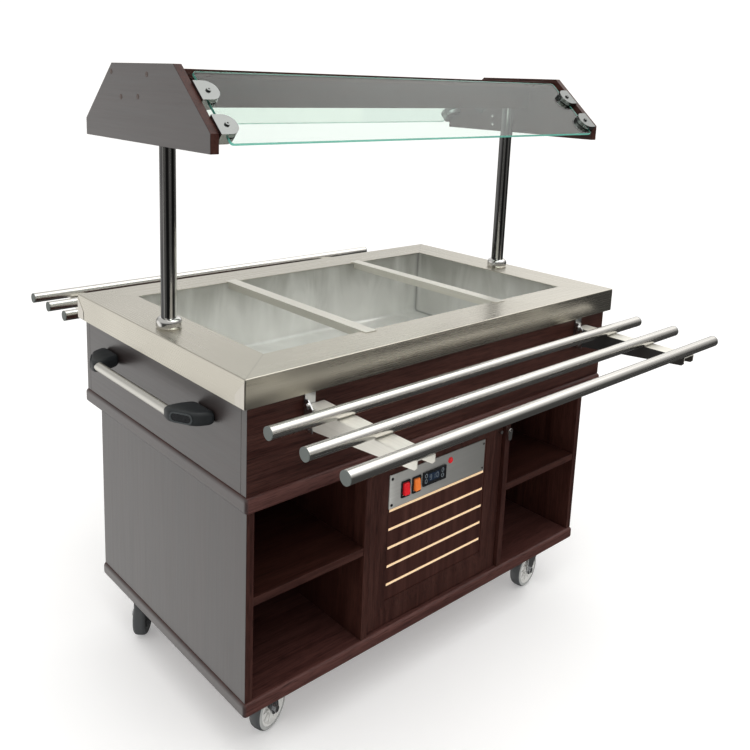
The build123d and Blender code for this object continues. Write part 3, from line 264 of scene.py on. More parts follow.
def plane(origin, x_dir, y_dir):
    """Matrix that maps local x, y, z to the given directions from origin, in metres."""
    x_dir, y_dir = Vector(x_dir).normalized(), Vector(y_dir).normalized()
    z_dir = x_dir.cross(y_dir)
    m = Matrix.Identity(4)
    for row in range(3):
        m[row][0], m[row][1], m[row][2], m[row][3] = x_dir[row], y_dir[row], z_dir[row], origin[row]
    return m


def prism(bm, outline, depth, matrix, mat_index=0):
    """Adds a closed prism of an outline in local x, y from local z = 0 to depth."""
    low = [bm.verts.new(matrix @ Vector((a, b, 0))) for a, b in outline]
    high = [bm.verts.new(matrix @ Vector((a, b, depth))) for a, b in outline]
    faces = [bm.faces.new(low[::-1]), bm.faces.new(high)]
    count = len(outline)
    for i in range(count):
        j = (i + 1) % count
        faces.append(bm.faces.new((low[i], low[j], high[j], high[i])))
    for face in faces:
        face.material_index = mat_index
    return faces


def lathe(bm, profile, matrix, steps=48, mat_index=0, closed=True):
    """Adds a body of revolution about local z from (radius, height) points."""
    rings = []
    for radius, height in profile:
        if radius < 1e-7:
            rings.append([bm.verts.new(matrix @ Vector((0, 0, height)))])
            continue
        ring = []
        for step in range(steps):
            turn = 2 * math.pi * step / steps
            point = Vector((radius * math.cos(turn), radius * math.sin(turn), height))
            ring.append(bm.verts.new(matrix @ point))
        rings.append(ring)
    pairs = list(zip(rings, rings[1:]))
    if closed and len(rings[0]) > 1 and len(rings[-1]) > 1:
        pairs.append((rings[-1], rings[0]))
    for a, b in pairs:
        for step in range(steps):
            other = (step + 1) % steps
            corners = []
            for vert in (a[step % len(a)], a[other % len(a)], b[other % len(b)], b[step % len(b)]):
                if vert not in corners:
                    corners.append(vert)
            if len(corners) > 2:
                bm.faces.new(corners).material_index = mat_index


def rounded(width, height, radius, steps=6):
    """Outline of a rectangle with round corners, centred on the origin."""
    points = []
    for cx, cy, start in ((1, 1, 0), (-1, 1, 90), (-1, -1, 180), (1, -1, 270)):
        for step in range(steps + 1):
            turn = math.radians(start + 90 * step / steps)
            points.append((cx * (width / 2 - radius) + radius * math.cos(turn),
                           cy * (height / 2 - radius) + radius * math.sin(turn)))
    return points


def soften(outline, radius, steps=5):
    """Rounds every corner of an outline, less where its edges are short."""
    made = []
    count = len(outline)
    for i in range(count):
        here = Vector(outline[i])
        before, after = Vector(outline[i - 1]), Vector(outline[(i + 1) % count])
        reach = min(radius, 0.45 * (before - here).length, 0.45 * (after - here).length)
        start = here + (before - here).normalized() * reach
        end = here + (after - here).normalized() * reach
        for step in range(steps + 1):
            t = step / steps
            made.append(tuple((1 - t) ** 2 * start + 2 * t * (1 - t) * here + t * t * end))
    return made


def node_box(name):
    low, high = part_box(name)
    return Vector(low), Vector(high)


def paint(mat, *names):
    for name in names:
        for item in NODES[name].material_slots:
            item.material = mat


def tank_material():
    """Thin satin sheet with a painted highlight that pales it towards the bottom, painted reflection streaks
    up the walls, and a narrow darker band at the end corners.
    """
    p = Paint("steel_tank")
    at = p.split()
    lines = p.noise((500, 500, 4), 4, 0.6)
    # Painted reflection streaks from a stretched noise, and a painted highlight that pales the walls towards
    # the bottom.
    painted_streaks = p.noise((9, 9, 2.4), 3, 0.5, 1.2)
    depth = p.remap(at[2], 0.84, 0.69, 0.0, 1.0)
    # Darker in a narrow band where |x| comes near 0.4745 m, at the end corners.
    corner = p.math("ABSOLUTE", p.math("SUBTRACT", p.math("ABSOLUTE", at[0]), 0.4745))
    end_corner_darkening = p.ramp(corner, ((0.0, 0.35), (0.004, 0.8), (0.012, 1.0)))
    shade = p.math("ADD", p.math("MULTIPLY", depth, 0.75), p.remap(painted_streaks, 0.3, 0.7, -0.22, 0.30))
    tone = p.ramp(shade, ((0.0, (0.50, 0.50, 0.465)), (0.45, (0.80, 0.80, 0.77)), (1.0, (0.98, 0.98, 0.95))))
    p.put("Base Color", p.mix(1.0, tone, end_corner_darkening, "MULTIPLY"))
    p.put("Metallic", 0.45)
    p.put("Roughness", p.remap(lines, 0.3, 0.7, 0.30, 0.42))
    p.bump(lines, 0.06, 0.0003)
    return p.mat


def arm_material():
    """Pale satin channel; the flanks of the far arm carry a painted dark reflection of the room."""
    p = Paint("steel_arm")
    lines = p.noise((620, 3.5, 620), 5, 0.6)
    cloud = p.noise((6, 6, 6), 4, 0.6, 0.6)
    flank = p.math("GREATER_THAN", p.math("ABSOLUTE", p.normal()[0]), 0.6)
    # Painted reflection: side faces of the far arm (x > 0.2 m) are mixed to a near-black colour.
    far = p.math("MULTIPLY", flank, p.math("GREATER_THAN", p.split()[0], 0.2))
    pale = p.mix(p.remap(cloud, 0.35, 0.7, 0.0, 0.5), (0.95, 0.93, 0.85), (0.80, 0.78, 0.71))
    dark = p.mix(cloud, (0.035, 0.045, 0.058), (0.075, 0.062, 0.045))
    grain = p.ramp(lines, ((0.3, 0.90), (0.7, 1.0)))
    p.put("Base Color", p.mix(1.0, p.mix(far, pale, dark), grain, "MULTIPLY"))
    p.put("Metallic", 0.55)
    p.put("Roughness", p.remap(lines, 0.3, 0.7, 0.38, 0.48))
    p.bump(lines, 0.08, 0.0003)
    return p.mat


def post_material():
    """Polished tube with painted upright dark and bright reflection bands, set by the direction of the
    surface normal.
    """
    p = Paint("polished_post")
    n = p.normal()
    # Painted reflection: the bands follow the normal's direction round the tube.
    around = p.math("ADD", p.math("MULTIPLY", n[0], 3.7), p.math("MULTIPLY", n[1], -1.6))
    bands = p.math("SINE", p.math("MULTIPLY", around, 2.3))
    haze = p.noise((14, 14, 3), 4, 0.6, 0.5)
    tone = p.ramp(p.remap(bands, -1.0, 1.0, 0.0, 1.0),
                  ((0.0, (0.035, 0.035, 0.037)), (0.40, (0.10, 0.10, 0.10)),
                   (0.62, (0.62, 0.61, 0.59)), (1.0, (0.92, 0.91, 0.88))))
    p.put("Base Color", p.mix(p.remap(haze, 0.35, 0.75, 0.0, 0.25), tone, (0.40, 0.39, 0.38)))
    p.put("Metallic", 1.0)
    p.put("Roughness", p.remap(haze, 0.3, 0.7, 0.10, 0.18))
    p.bump(haze, 0.02, 0.0002)
    return p.mat


# ------------------------------------------------------------------ materials
WENGE_X = laminate("wenge_along_x", 0)
WENGE_Y = laminate("wenge_along_y", 1)
WENGE_Z = laminate("wenge_along_z", 2)
WENGE_EDGE = laminate("wenge_edge_band", 0, (0.046, 0.0160, 0.0135), (0.112, 0.047, 0.040))
STEEL_TOP = brushed("steel_worktop", (0.61, 0.580, 0.505), None, 0.27)
STEEL_TANK = tank_material()
STEEL_BAR = brushed("steel_adapter", (0.78, 0.76, 0.69), 1, 0.34, metal=0.75)
STEEL_TUBE = brushed("steel_tube", (0.70, 0.685, 0.65), 0, 0.24, 0.05, 0.03)
STEEL_ARM = arm_material()
STEEL_GRIP = brushed("steel_grip", (0.70, 0.685, 0.64), 1, 0.33, 0.06)
STEEL_ZINC = brushed("steel_zinc", (0.62, 0.63, 0.64), 2, 0.3, 0.1)

CHROME = polished("chrome_plate")
CLAMP = polished("clamp_satin", (0.24, 0.25, 0.245), 0.24)
POST = post_material()
BLACK = moulded("black_moulding", (0.018, 0.021, 0.023), 0.42)
BLACK_GLOSS = moulded("black_switch", (0.010, 0.011, 0.013), 0.25, 900, 0.05)
BLACK_RIM = moulded("black_rim", (0.045, 0.052, 0.055), 0.36)
CAP = moulded("grey_cap", (0.10, 0.115, 0.108), 0.55)
HUB_WHITE = moulded("white_hub", (0.72, 0.72, 0.70), 0.38, 700, 0.06)
TREAD = moulded("grey_tread", (0.075, 0.08, 0.083), 0.5, 500, 0.2)
SIDEWALL = moulded("pale_sidewall", (0.42, 0.43, 0.42), 0.45, 500, 0.1)
DARK = moulded("dark_socket", (0.02, 0.02, 0.021), 0.5)
RED = moulded("red_lens", (0.72, 0.012, 0.02), 0.2, 300, 0.03)
ORANGE = moulded("orange_lens", (0.85, 0.20, 0.03), 0.2, 300, 0.03)
BRASS = brushed("brass_cast", (0.62, 0.46, 0.22), 2, 0.35, 0.3)
FIBRE = moulded("fibre_blanket", (0.55, 0.55, 0.50), 0.85, 260, 0.7)
LAMP_WHITE = moulded("frosted_tube", (0.86, 0.86, 0.82), 0.3, 200, 0.02)


def slotted_panel_material():
    """Laminate outside and raw pale fibreboard where the slots are cut through it, the cuts given a faint
    painted glow.
    """
    p = Paint("wenge_slotted")
    fibre = p.noise((260, 260, 5), 6, 0.62, 0.3)
    bands = p.noise((22, 22, 1.6), 3, 0.5, 1.6)
    streak = p.math("MULTIPLY", fibre, bands)
    wood = p.ramp(streak, ((0.12, (0.0300, 0.0088, 0.0066)), (0.46, (0.074, 0.028, 0.021))))
    fuzz = p.noise((900, 900, 900), 4, 0.7)
    raw = p.ramp(fuzz, ((0.3, (0.82, 0.66, 0.46)), (0.7, (0.95, 0.84, 0.66))))
    # The normal is in the scene's axes, so this tells cuts from faces only while the door is shut.
    facing = p.math("ABSOLUTE", p.normal()[1])
    cut_and_glow = p.math("LESS_THAN", facing, 0.5)
    p.put("Base Color", p.mix(cut_and_glow, wood, raw))
    p.put("Roughness", p.remap(cut_and_glow, 0, 1, 0.36, 0.8))
    p.put("Specular IOR Level", 0.22)
    # Painted light: the cut faces glow faintly so the slot faces read as lit.
    p.put("Emission Color", (1.0, 0.80, 0.58, 1.0))
    p.put("Emission Strength", p.math("MULTIPLY", cut_and_glow, 0.24))
    p.bump(p.math("ADD", fibre, p.math("MULTIPLY", fuzz, cut_and_glow)), 0.2, 0.0004)
    return p.mat


def plate_material():
    """Satin grey plate with a painted reflection that pales it towards its hinge side, and a fine horizontal
    grain.
    """
    p = Paint("plate_satin")
    lines = p.noise((3.5, 620, 620), 5, 0.6)
    cloud = p.noise((7, 7, 16), 4, 0.6, 0.8)
    # Painted reflection: paler at the hinge side (low x), darker towards the other edge.
    painted_reflection_fade = p.ramp(p.remap(p.split()[0], -0.162, 0.156, 0.0, 1.0),
                  ((0.0, (0.60, 0.60, 0.57)), (0.06, (0.42, 0.42, 0.40)), (0.5, (0.30, 0.30, 0.285)),
                   (1.0, (0.20, 0.20, 0.19))))
    grain = p.ramp(lines, ((0.3, 0.86), (0.7, 1.0)))
    tone = p.mix(1.0, painted_reflection_fade, grain, "MULTIPLY")
    p.put("Base Color", p.mix(p.remap(cloud, 0.4, 0.7, 0.0, 0.3), tone, (0.20, 0.20, 0.195)))
    p.put("Metallic", 0.25)
    p.put("Roughness", p.remap(lines, 0.3, 0.7, 0.34, 0.46))
    p.bump(lines, 0.08, 0.0003)
    return p.mat


def glass_material(name, colour, rough):
    p = Paint(name)
    film = p.noise((6, 6, 6), 3, 0.5, 0.8)
    p.put("Base Color", (*colour, 1.0))
    p.put("Transmission Weight", 1.0)
    p.put("IOR", 1.32)
    p.put("Roughness", p.remap(film, 0.4, 0.75, rough, rough + 0.03))
    return p.mat


GLASS = glass_material("glass_sheet", (0.77, 0.85, 0.81), 0.0)
GLASS_EDGE = moulded("glass_edge", (0.16, 0.52, 0.42), 0.2, 200, 0.05)
PLATE = plate_material()


# ------------------------------------------------------------------ finishes on the CAD's own nodes
paint(WENGE_EDGE, "bottom_board", "ledge_board")
paint(WENGE_X, "surround_front", "surround_back", "bay_shelves",
      "canopy_top_board", "lintel_boards", "cabinet_back")
paint(WENGE_Y, "surround_ends", "canopy_end_left", "canopy_end_right")
paint(WENGE_Z, "cabinet_sides", "bay_dividers", "door_frame")
paint(slotted_panel_material(), "door_panel")
paint(STEEL_TOP, "worktop")
paint(STEEL_TANK, "well_tank")
paint(STEEL_BAR, "adapter_bar_left", "adapter_bar_right")
paint(STEEL_TUBE, "front_tray_tubes", "back_tray_tubes")
paint(STEEL_ARM, "front_tray_arms", "back_tray_arms")
paint(STEEL_ZINC, "tray_brackets")
paint(STEEL_GRIP, "handle_bars")
paint(POST, "posts")
paint(CLAMP, "glass_clamps")
paint(CHROME, "post_flanges", "turn_button", "turn_button_screw", "door_stud", "plate_screws")
paint(STEEL_ZINC, "castor_mounts", "fork_fl", "fork_fr", "fork_bl", "fork_br", "shelf_pins",
      "door_pivot_pins", "drain_lever", "heating_element")
paint(BRASS, "drain_valve")
paint(CAP, "front_tray_caps", "back_tray_caps")
paint(PLATE, "control_plate", "lamp_housing")
paint(LAMP_WHITE, "lamp_tube")
paint(FIBRE, "insulation_jacket")


def frame_ring(bm, outer, inner, depth, matrix, mat_index=0):
    """A flat ring between two outlines of the same length."""
    rings = []
    for outline, z in ((outer, 0.0), (outer, depth), (inner, depth), (inner, 0.0)):
        rings.append([bm.verts.new(matrix @ Vector((a, b, z))) for a, b in outline])
    count = len(outer)
    for low, high in zip(rings, rings[1:] + rings[:1]):
        for i in range(count):
            j = (i + 1) % count
            bm.faces.new((low[i], low[j], high[j], high[i])).material_index = mat_index


# ------------------------------------------------------------------ push handle sockets
def pillow(bm, outline, height, radius, matrix, steps=6):
    """A block with a full round along its upper and lower rims, its outline in local x, y."""
    xs, ys = [a for a, _ in outline], [b for _, b in outline]
    middle = Vector(((min(xs) + max(xs)) / 2, (min(ys) + max(ys)) / 2))
    half = Vector(((max(xs) - min(xs)) / 2, (max(ys) - min(ys)) / 2))
    levels = []
    for step in range(steps + 1):
        turn = math.radians(90 * step / steps)
        levels.append((radius * (1 - math.sin(turn)), -height / 2 + radius * (1 - math.cos(turn))))
    levels += [(inset, -z) for inset, z in reversed(levels)]
    rings = []
    for inset, z in levels:
        ring = []
        for a, b in outline:
            x = middle.x + (a - middle.x) * (1 - inset / half.x)
            y = middle.y + (b - middle.y) * (1 - inset / half.y)
            ring.append(bm.verts.new(matrix @ Vector((x, y, z))))
        rings.append(ring)
    count = len(outline)
    for low, high in zip(rings, rings[1:]):
        for i in range(count):
            j = (i + 1) % count
            bm.faces.new((low[i], low[j], high[j], high[i]))
    bm.faces.new(rings[0][::-1])
    bm.faces.new(rings[-1])


def handle_sockets():
    """Four round-shouldered sockets, each with an oval recess and its screw in the outer face."""
    _, high = node_box("handle_brackets")
    wall = 0.5636
    reach = high.x - wall
    inner = 0.150
    near, far = Vector((reach - 0.001, inner + 0.018)), Vector((reach - 0.032, high.y - 0.014))
    outline = ((0, inner + 0.012), (reach - 0.030, inner), (reach - 0.004, inner),
               tuple(near), tuple(far), (0, high.y))
    body, pads, rims = bmesh.new(), bmesh.new(), bmesh.new()
    for side in (-1, 1):
        for end in (-1, 1):
            seat = Matrix.Diagonal((side, end, 1, 1))
            seat.translation = (side * wall, 0, 0.737)
            pillow(body, soften(outline, 0.013, 6), 0.0275, 0.009, seat)
            spot, run = (near + far) / 2, (far - near).normalized()
            along = Vector((side * run.x, end * run.y, 0))
            outward = Vector((side * run.y, -end * run.x, 0))
            origin = Vector((side * (wall + spot.x), end * spot.y, 0.7365))
            upright = Z if along.cross(Z).dot(outward) > 0 else -Z
            face = plane(origin, along, upright)
            frame_ring(rims, rounded(0.050, 0.0215, 0.0105), rounded(0.043, 0.0150, 0.0074), 0.0014, face)
            prism(pads, rounded(0.043, 0.0150, 0.0074), 0.0004, face)
            lathe(pads, ((0, 0.0015), (0.0026, 0.0013), (0.0034, 0.0004)),
                  face @ Matrix.Translation((0.008, 0, 0)), 16)
    made = publish("handle_socket_bodies", body, BLACK, "cabinet", smooth=50)
    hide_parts("handle_brackets")
    publish("handle_socket_rims", rims, BLACK_RIM, "cabinet", 0.0008)
    publish("handle_socket_recesses", pads, BLACK_GLOSS, "cabinet", 0.0003)


# ------------------------------------------------------------------ switches, controller and lamp
FACE_Y = -0.301
FRONT = ((1, 0, 0), (0, 0, 1))


def front(x, y, z):
    """Local x to the right, y up and z out of the door's face."""
    return plane((x, y, z), *FRONT)


def switch_pieces():
    bezels = bmesh.new()
    for x in ROCKER_X:
        frame_ring(bezels, rounded(0.0278, 0.0398, 0.003), rounded(0.0196, 0.0326, 0.001), 0.0024,
                   front(x, FACE_Y, ROCKER_Z))
        prism(bezels, rounded(0.0196, 0.0326, 0.001), 0.0004, front(x, FACE_Y + 0.0045, ROCKER_Z))
    made = publish("switch_frames", bezels, BLACK_GLOSS, "door", 0.0006)
    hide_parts("switch_bezels")
    tilt = math.radians(8)
    out = Vector((0, -math.cos(tilt), math.sin(tilt)))
    across = Vector((0, math.sin(tilt), math.cos(tilt)))
    for x, name, mat, slot in zip(ROCKER_X, ("red", "orange"), (RED, ORANGE),
                                  ("red_plastic", "orange_plastic")):
        cap = bmesh.new()
        middle = Vector((x, FACE_Y + 0.002, ROCKER_Z)) + out * 0.0028
        seat = plane(middle, (1, 0, 0), across)
        pillow(cap, rounded(0.0178, 0.0290, 0.0035), 0.0150, 0.0036, seat)
        piece = publish("rocker_cap_" + name, cap, mat, "rocker_" + name, smooth=50)
        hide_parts("rocker_" + name)


def digit(bm, lit, at, width, height, matrix):
    """Seven-segment figure from short bars; lit lists the segments in the usual a to g order."""
    half_w, half_h, thick = width / 2, height / 2, width * 0.16
    flat = {"a": (0, half_h), "g": (0, 0), "d": (0, -half_h)}
    upright = {"f": (-half_w, half_h / 2), "b": (half_w, half_h / 2),
               "e": (-half_w, -half_h / 2), "c": (half_w, -half_h / 2)}
    for key in lit:
        a, b = flat[key] if key in flat else upright[key]
        size = (width * 0.8, thick) if key in flat else (thick, half_h * 0.86)
        shift = Matrix.Translation((at[0] + a, at[1] + b, 0))
        prism(bm, rounded(*size, thick * 0.3, 2), 0.0002, matrix @ shift)


def controller_pieces():
    """Panel controller: raised frame, dark window with dim figures and four membrane keys."""
    x, z = -0.0225, 0.4845
    body = bmesh.new()
    frame_ring(body, rounded(0.076, 0.034, 0.002), rounded(0.070, 0.028, 0.0015), 0.0040, front(x, FACE_Y, z))
    prism(body, rounded(0.070, 0.028, 0.0015), 0.0034, front(x, FACE_Y, z))
    made = publish("controller_frame", body, BLACK_GLOSS, "door", 0.0005)
    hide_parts("temperature_controller")
    window = bmesh.new()
    prism(window, rounded(0.037, 0.019, 0.001), 0.0003, front(x - 0.003, FACE_Y - 0.0034, z + 0.001))
    publish("controller_window", window, WINDOW, "door")
    marks = bmesh.new()
    at = front(x, FACE_Y - 0.0037, z)
    for place, lit in zip((-0.014, -0.003, 0.008), ("abcdfg", "bc", "abcdef")):
        digit(marks, lit, (place, 0.001), 0.0056, 0.0112, at)
    key = front(x, FACE_Y - 0.0034, z)
    for a, b in ((-0.0285, 0.0075), (-0.0285, -0.0055), (0.0255, 0.0075), (0.0255, -0.0055)):
        ring_at = key @ Matrix.Translation((a, b, 0))
        frame_ring(marks, rounded(0.0078, 0.0098, 0.0034, 4), rounded(0.0056, 0.0076, 0.0025, 4),
                   0.0003, ring_at)
    publish("controller_marks", marks, MARK, "door")


def lamp_and_screws():
    x, z = 0.0316, 0.506
    lens, ring = bmesh.new(), bmesh.new()
    outward = front(x, FACE_Y, z)
    profile = [(0.0064, 0.0009)]
    for step in range(7):
        turn = math.radians(90 * step / 6)
        profile.append((0.0064 * math.cos(turn), 0.0012 + 0.0040 * math.sin(turn)))
    lathe(lens, profile, outward, 32, closed=False)
    lathe(ring, ((0.0064, 0.0), (0.0075, 0.0), (0.0073, 0.0014), (0.0064, 0.0018)), outward, 32)
    made = publish("pilot_lens", lens, RED, "door")
    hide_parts("pilot_lamp")
    publish("pilot_ring", ring, RED, "door")
    for name, mat, screw_x in (("dark", BLACK_GLOSS, -0.155), ("bright", CHROME, 0.149)):
        heads = bmesh.new()
        for screw_z in (0.453, 0.515):
            at = front(screw_x, FACE_Y, screw_z)
            lathe(heads, ((0, 0.0020), (0.0020, 0.0020), (0.0032, 0.0013), (0.0036, 0.0)),
                  at, 24, closed=False)
            for turn in (30, 120):
                cross = at @ Matrix.Rotation(math.radians(turn), 4, "Z") @ Matrix.Translation((0, 0, 0.0019))
                prism(heads, rounded(0.0036, 0.0007, 0.0002, 2), 0.0002, cross, 1)
        screw = publish("plate_screws_" + name, heads, [mat, DARK], "door")
        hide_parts("plate_screws")


def bolt_domes():
    """Domed bolt heads on the tray rail brackets, over the upper lock bolt and the hinge bolt."""
    domes = bmesh.new()
    for side in (-1, 1):
        for arm in (-0.410, 0.460):
            for end, y, z in ((side, 0.348, 0.768), (-1, 0.352, 0.728), (1, 0.352, 0.728)):
                seat = plane((-side * arm + end * 0.0257, side * y, z), (0, end, 0), (0, 0, 1))
                profile = [(0.0078, 0.0)]
                for step in range(7):
                    turn = math.radians(90 * step / 6)
                    profile.append((0.0078 * math.cos(turn), 0.0010 + 0.0046 * math.sin(turn)))
                lathe(domes, profile, seat, 28, closed=False)
    publish("bracket_bolt_domes", domes, CHROME, "cabinet")


ROCKER_X = (-0.114, -0.080)
ROCKER_Z = 0.4805


# ------------------------------------------------------------------ castor wheels
def wheel(name):
    """Grey tyre with a pale sidewall, white dished hub with spokes, and a bearing cap each side; on the back
    pair the sidewall and hub are painted tread grey as shade.
    """
    low, high = node_box("wheel_" + name)
    middle = (low + high) / 2
    middle.z = 0.05
    _, y_sign, heading = CASTORS[name]
    turn = math.radians(heading)
    axle = Vector((-math.sin(turn), math.cos(turn), 0))
    seat = plane(middle, (math.cos(turn), math.sin(turn), 0), (0, 0, 1))
    if (seat.to_3x3() @ Z).dot(axle) < 0:
        seat = plane(middle, (-math.cos(turn), -math.sin(turn), 0), (0, 0, 1))
    tyre = bmesh.new()
    crown = [(0.0392, -0.0148), (0.0430, -0.0150), (0.0464, -0.0138), (0.0488, -0.0108), (0.0499, -0.0060),
             (0.0500, 0.0)]
    profile = crown + [(r, -h) for r, h in reversed(crown[:-1])]
    lathe(tyre, profile, seat, 72)
    for face in tyre.faces:
        spot = seat.inverted() @ face.calc_center_median()
        face.material_index = 1 if abs(spot.z) > 0.0125 else 0
    # Painted shade: back wheels (y_sign > 0) take the dark tread grey on the sidewall.
    made = publish("tyre_" + name, tyre, [TREAD, TREAD if y_sign > 0 else SIDEWALL], "wheel_" + name)
    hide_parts("wheel_" + name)
    hub = bmesh.new()
    for end in (-1, 1):
        dish = [(0.0052, 0.0146), (0.0118, 0.0146), (0.0128, 0.0136), (0.0132, 0.0085), (0.0300, 0.0095),
                (0.0330, 0.0120), (0.0345, 0.0142), (0.0392, 0.0142), (0.0392, 0.0), (0.0052, 0.0)]
        lathe(hub, [(r, end * h) for r, h in dish], seat, 64)
        for spoke in range(10):
            spin = Matrix.Rotation(math.radians(36 * spoke), 4, "Z")
            rib = spin @ Matrix.Translation((0.0225, 0, end * 0.0088))
            prism(hub, rounded(0.021, 0.0022, 0.0009, 2), end * 0.0036, seat @ rib)
    # Painted shade: back wheels (y_sign > 0) take the dark tread grey on the hub.
    publish("hub_" + name, hub, TREAD if y_sign > 0 else HUB_WHITE, "wheel_" + name)


CASTORS = {"fl": (-1, -1, 18), "fr": (1, -1, 188), "bl": (-1, 1, 228), "br": (1, 1, 160)}


# ------------------------------------------------------------------ glass with green edges
def glass_frame(side):
    """Matrix of a sloping sheet: local x along the counter, y up the slope, z out of the sheet."""
    up = Vector((0, -side * 0.127, 0.1165)).normalized()
    return plane((0, side * 0.1284, 1.370), (-side, 0, 0), up)


def glass_sheets():
    for side, name in ((-1, "front"), (1, "back")):
        seat = glass_frame(side) @ Matrix.Translation((0, -0.09, -0.003))
        sheet = bmesh.new()
        faces = prism(sheet, rounded(1.1, 0.18, 0.006), 0.006, seat)
        for face in faces[2:]:
            face.material_index = 1
        made = publish("glass_sheet_" + name, sheet, [GLASS, GLASS_EDGE], "cabinet")
        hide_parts("glass_" + name)


# ------------------------------------------------------------------ fascia tabs, canopy plugs and grub screws
def corner_tabs():
    """Lapped and ground corner welds: a thin strip on each end fascia beside every corner."""
    low, high = node_box("worktop")
    tabs = bmesh.new()
    for side in (-1, 1):
        for end in (-1, 1):
            at = plane((side * (high.x - 0.0001), 0, 0), (0, 1, 0), (0, 0, 1))
            corner = end * (high.y - 0.001)
            inner = corner - end * 0.030
            outline = [(corner, low.z + 0.001), (corner, high.z - 0.006),
                       (inner, high.z - 0.036), (inner, low.z + 0.001)]
            prism(tabs, outline, side * 0.0009, at)
    publish("fascia_corner_laps", tabs, STEEL_LAP, "cabinet", 0.0003)


def canopy_details():
    """Blanking plugs on the outer faces, and the cable outlet and screws inside the right-hand end."""
    plugs, screws, outlet = bmesh.new(), bmesh.new(), bmesh.new()
    for side in (-1, 1):
        out = plane((side * 0.5868, 0, 0), (0, side, 0), (0, 0, 1))
        for y, z in ((0.1267, 1.3663), (-0.0248, 1.363), (0.0843, 1.3175), (0.0124, 1.3202)):
            at = out @ Matrix.Translation((side * y, z, 0))
            lathe(plugs, ((0, 0.0011), (0.0046, 0.0010), (0.0056, 0.0003), (0.0058, 0.0)),
                  at, 24, closed=False)
    inside = plane((0.5690, 0, 0), (0, -1, 0), (0, 0, 1))
    at = inside @ Matrix.Translation((-0.1326, 1.302, 0))
    lathe(outlet, ((0, 0.0045), (0.0175, 0.0045), (0.0210, 0.0032), (0.0225, 0.0)), at, 40, closed=False)
    for y, z in ((0.174, 1.336), (0.091, 1.347), (0.089, 1.321), (0.085, 1.273), (0.083, 1.250)):
        at = inside @ Matrix.Translation((-y, z, 0))
        lathe(screws, ((0, 0.0022), (0.0022, 0.0020), (0.0040, 0.0008), (0.0045, 0.0)), at, 20, closed=False)
    publish("canopy_plugs", plugs, PLUG, "cabinet")
    publish("cable_outlet", outlet, BLACK, "cabinet")
    publish("canopy_screws", screws, CHROME, "cabinet")


def flange_screws():
    grubs = bmesh.new()
    for side in (-1, 1):
        for turn in (-125, 55):
            angle = math.radians(turn)
            out = Vector((math.cos(angle), math.sin(angle), 0))
            across = Vector((0, 0, 1)).cross(out)
            at = plane(Vector((side * 0.5304, 0, 0.8595)) + out * 0.0258, across, Z)
            if (at.to_3x3() @ Z).dot(out) < 0:
                at = plane(Vector((side * 0.5304, 0, 0.8595)) + out * 0.0258, -across, Z)
            lathe(grubs, ((0, 0.0008), (0.0018, 0.0008), (0.0028, 0.0012), (0.0032, 0.0)),
                  at, 18, closed=False)
    publish("flange_grub_screws", grubs, DARK, "cabinet")


WINDOW = moulded("display_window", (0.012, 0.022, 0.042), 0.12, 300, 0.02)
MARK = moulded("key_marks", (0.20, 0.24, 0.27), 0.5, 300, 0.02)
PLUG = moulded("brown_plug", (0.085, 0.060, 0.052), 0.45, 700, 0.05)
STEEL_LAP = brushed("steel_lap", (0.66, 0.63, 0.57), 2, 0.30, 0.10)

handle_sockets()
switch_pieces()
controller_pieces()
lamp_and_screws()
for castor in CASTORS:
    wheel(castor)
glass_sheets()
bolt_domes()
corner_tabs()
canopy_details()
flange_screws()


# ------------------------------------------------------------------ camera, floor and light
def camera():
    data = bpy.data.cameras.new("view")
    data.sensor_width = 36.0
    data.lens = 40.06
    data.shift_x = 0.039
    data.shift_y = -0.173
    data.clip_end = 100.0
    data.dof.use_dof = False
    seat = bpy.data.objects.new("view", data)
    bpy.context.scene.collection.objects.link(seat)
    right = Vector((0.75782, -0.65163, 0.03293))
    ahead = Vector((0.64425, 0.73934, -0.19577))
    m = Matrix.Identity(4)
    up = right.cross(ahead)
    for row in range(3):
        m[row][0], m[row][1], m[row][2] = right[row], up[row], -ahead[row]
    m[0][3], m[1][3], m[2][3] = -1.35218, -1.49300, 1.3678
    seat.matrix_world = m
    bpy.context.scene.camera = seat


def floor():
    bm = bmesh.new()
    size = 40.0
    prism(bm, ((-size, -size), (size, -size), (size, size), (-size, size)), -0.02, Matrix.Identity(4))
    mesh = bpy.data.meshes.new("floor")
    bm.to_mesh(mesh)
    bm.free()
    ground = bpy.data.objects.new("floor", mesh)
    bpy.context.scene.collection.objects.link(ground)
    p = Paint("floor_pale")
    cloud = p.noise((0.8, 0.8, 0.8), 4, 0.6)
    p.put("Base Color", p.ramp(cloud, ((0.3, (0.86, 0.86, 0.86)), (0.7, (0.90, 0.90, 0.90)))))
    p.put("Roughness", 0.9)
    p.put("Emission Color", (1.0, 1.0, 1.0, 1.0))
    p.put("Emission Strength", 0.22)
    mesh.materials.append(p.mat)
    ground.visible_glossy = False


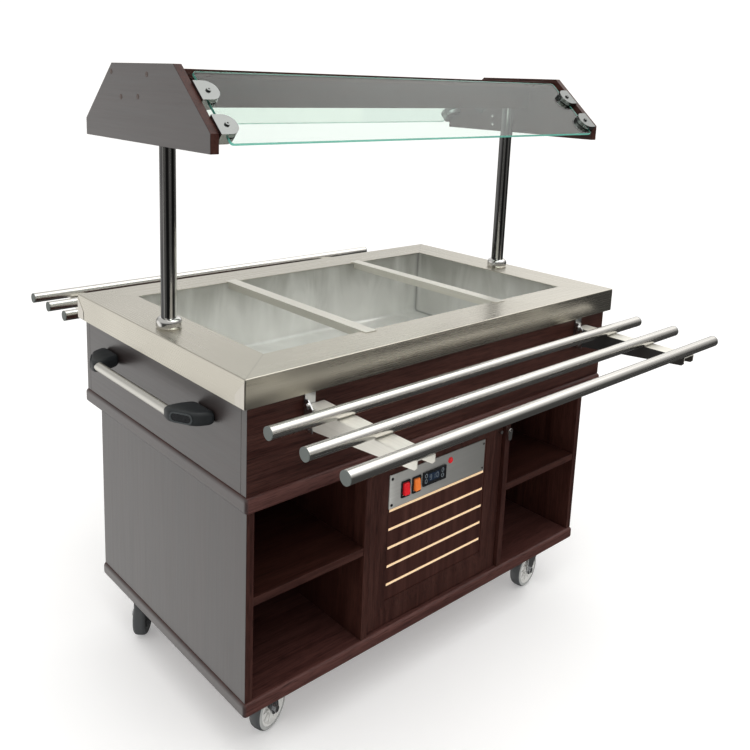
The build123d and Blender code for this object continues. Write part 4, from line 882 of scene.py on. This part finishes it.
def world():
    place = bpy.data.worlds.new("studio")
    bpy.context.scene.world = place
    place.use_nodes = True
    tree = place.node_tree
    tree.nodes.clear()
    out = tree.nodes.new("ShaderNodeOutputWorld")
    light = tree.nodes.new("ShaderNodeBackground")
    tree.links.new(light.outputs[0], out.inputs[0])
    coords = tree.nodes.new("ShaderNodeTexCoord").outputs["Generated"]
    paths = tree.nodes.new("ShaderNodeLightPath")

    def math_node(kind, a, b=0.0):
        node = tree.nodes.new("ShaderNodeMath")
        node.operation = kind
        for item, socket in ((a, node.inputs[0]), (b, node.inputs[1])):
            if isinstance(item, bpy.types.NodeSocket):
                tree.links.new(item, socket)
            else:
                socket.default_value = item
        return node.outputs[0]

    def lobe(direction, start, end, gain):
        node = tree.nodes.new("ShaderNodeVectorMath")
        node.operation = "DOT_PRODUCT"
        tree.links.new(coords, node.inputs[0])
        node.inputs[1].default_value = Vector(direction).normalized()
        span = tree.nodes.new("ShaderNodeMapRange")
        span.interpolation_type = "SMOOTHSTEP"
        tree.links.new(node.outputs["Value"], span.inputs[0])
        span.inputs[1].default_value = start
        span.inputs[2].default_value = end
        span.inputs[3].default_value = 0.0
        span.inputs[4].default_value = gain
        return span.outputs[0]

    sheen = 0.06
    for item in (
        lobe((0.0, 0.0, 1.0), -0.1, 0.5, 0.55),      # pale upper half
        lobe((0.34, -0.22, 0.91), 0.74, 0.96, 1.5),  # ceiling light
        lobe((-0.62, 0.70, -0.36), 0.66, 0.97, 1.0),  # tall window wall behind on the left
        lobe((0.80, 0.26, 0.54), 0.86, 0.98, 0.6),   # lights further down the room
        lobe((0.64, 0.74, 0.15), 0.80, 0.98, 0.40),  # pale wall ahead
    ):
        sheen = math_node("ADD", sheen, item)
    soft = 0.95
    strength = math_node("ADD", math_node("MULTIPLY", sheen, paths.outputs["Is Glossy Ray"]),
                         math_node("MULTIPLY", soft,
                                   math_node("SUBTRACT", 1.0, paths.outputs["Is Glossy Ray"])))
    strength = math_node("ADD", strength, math_node("MULTIPLY", 0.15, paths.outputs["Is Camera Ray"]))
    tree.links.new(strength, light.inputs["Strength"])
    light.inputs["Color"].default_value = (1.0, 0.99, 0.97, 1.0)


def soft_light(name, at, towards, size, power):
    data = bpy.data.lights.new(name, "AREA")
    data.shape = "RECTANGLE"
    data.size, data.size_y = size
    data.energy = power
    lamp = bpy.data.objects.new(name, data)
    bpy.context.scene.collection.objects.link(lamp)
    lamp.location = at
    lamp.rotation_euler = (Vector(towards) - Vector(at)).to_track_quat("-Z", "Y").to_euler()
    lamp.visible_glossy = False


camera()
floor()
world()
soft_light("overhead", (-0.6, -1.2, 4.2), (0, 0, 0.7), (3.0, 3.0), 60)

bpy.context.scene.view_settings.view_transform = "Standard"
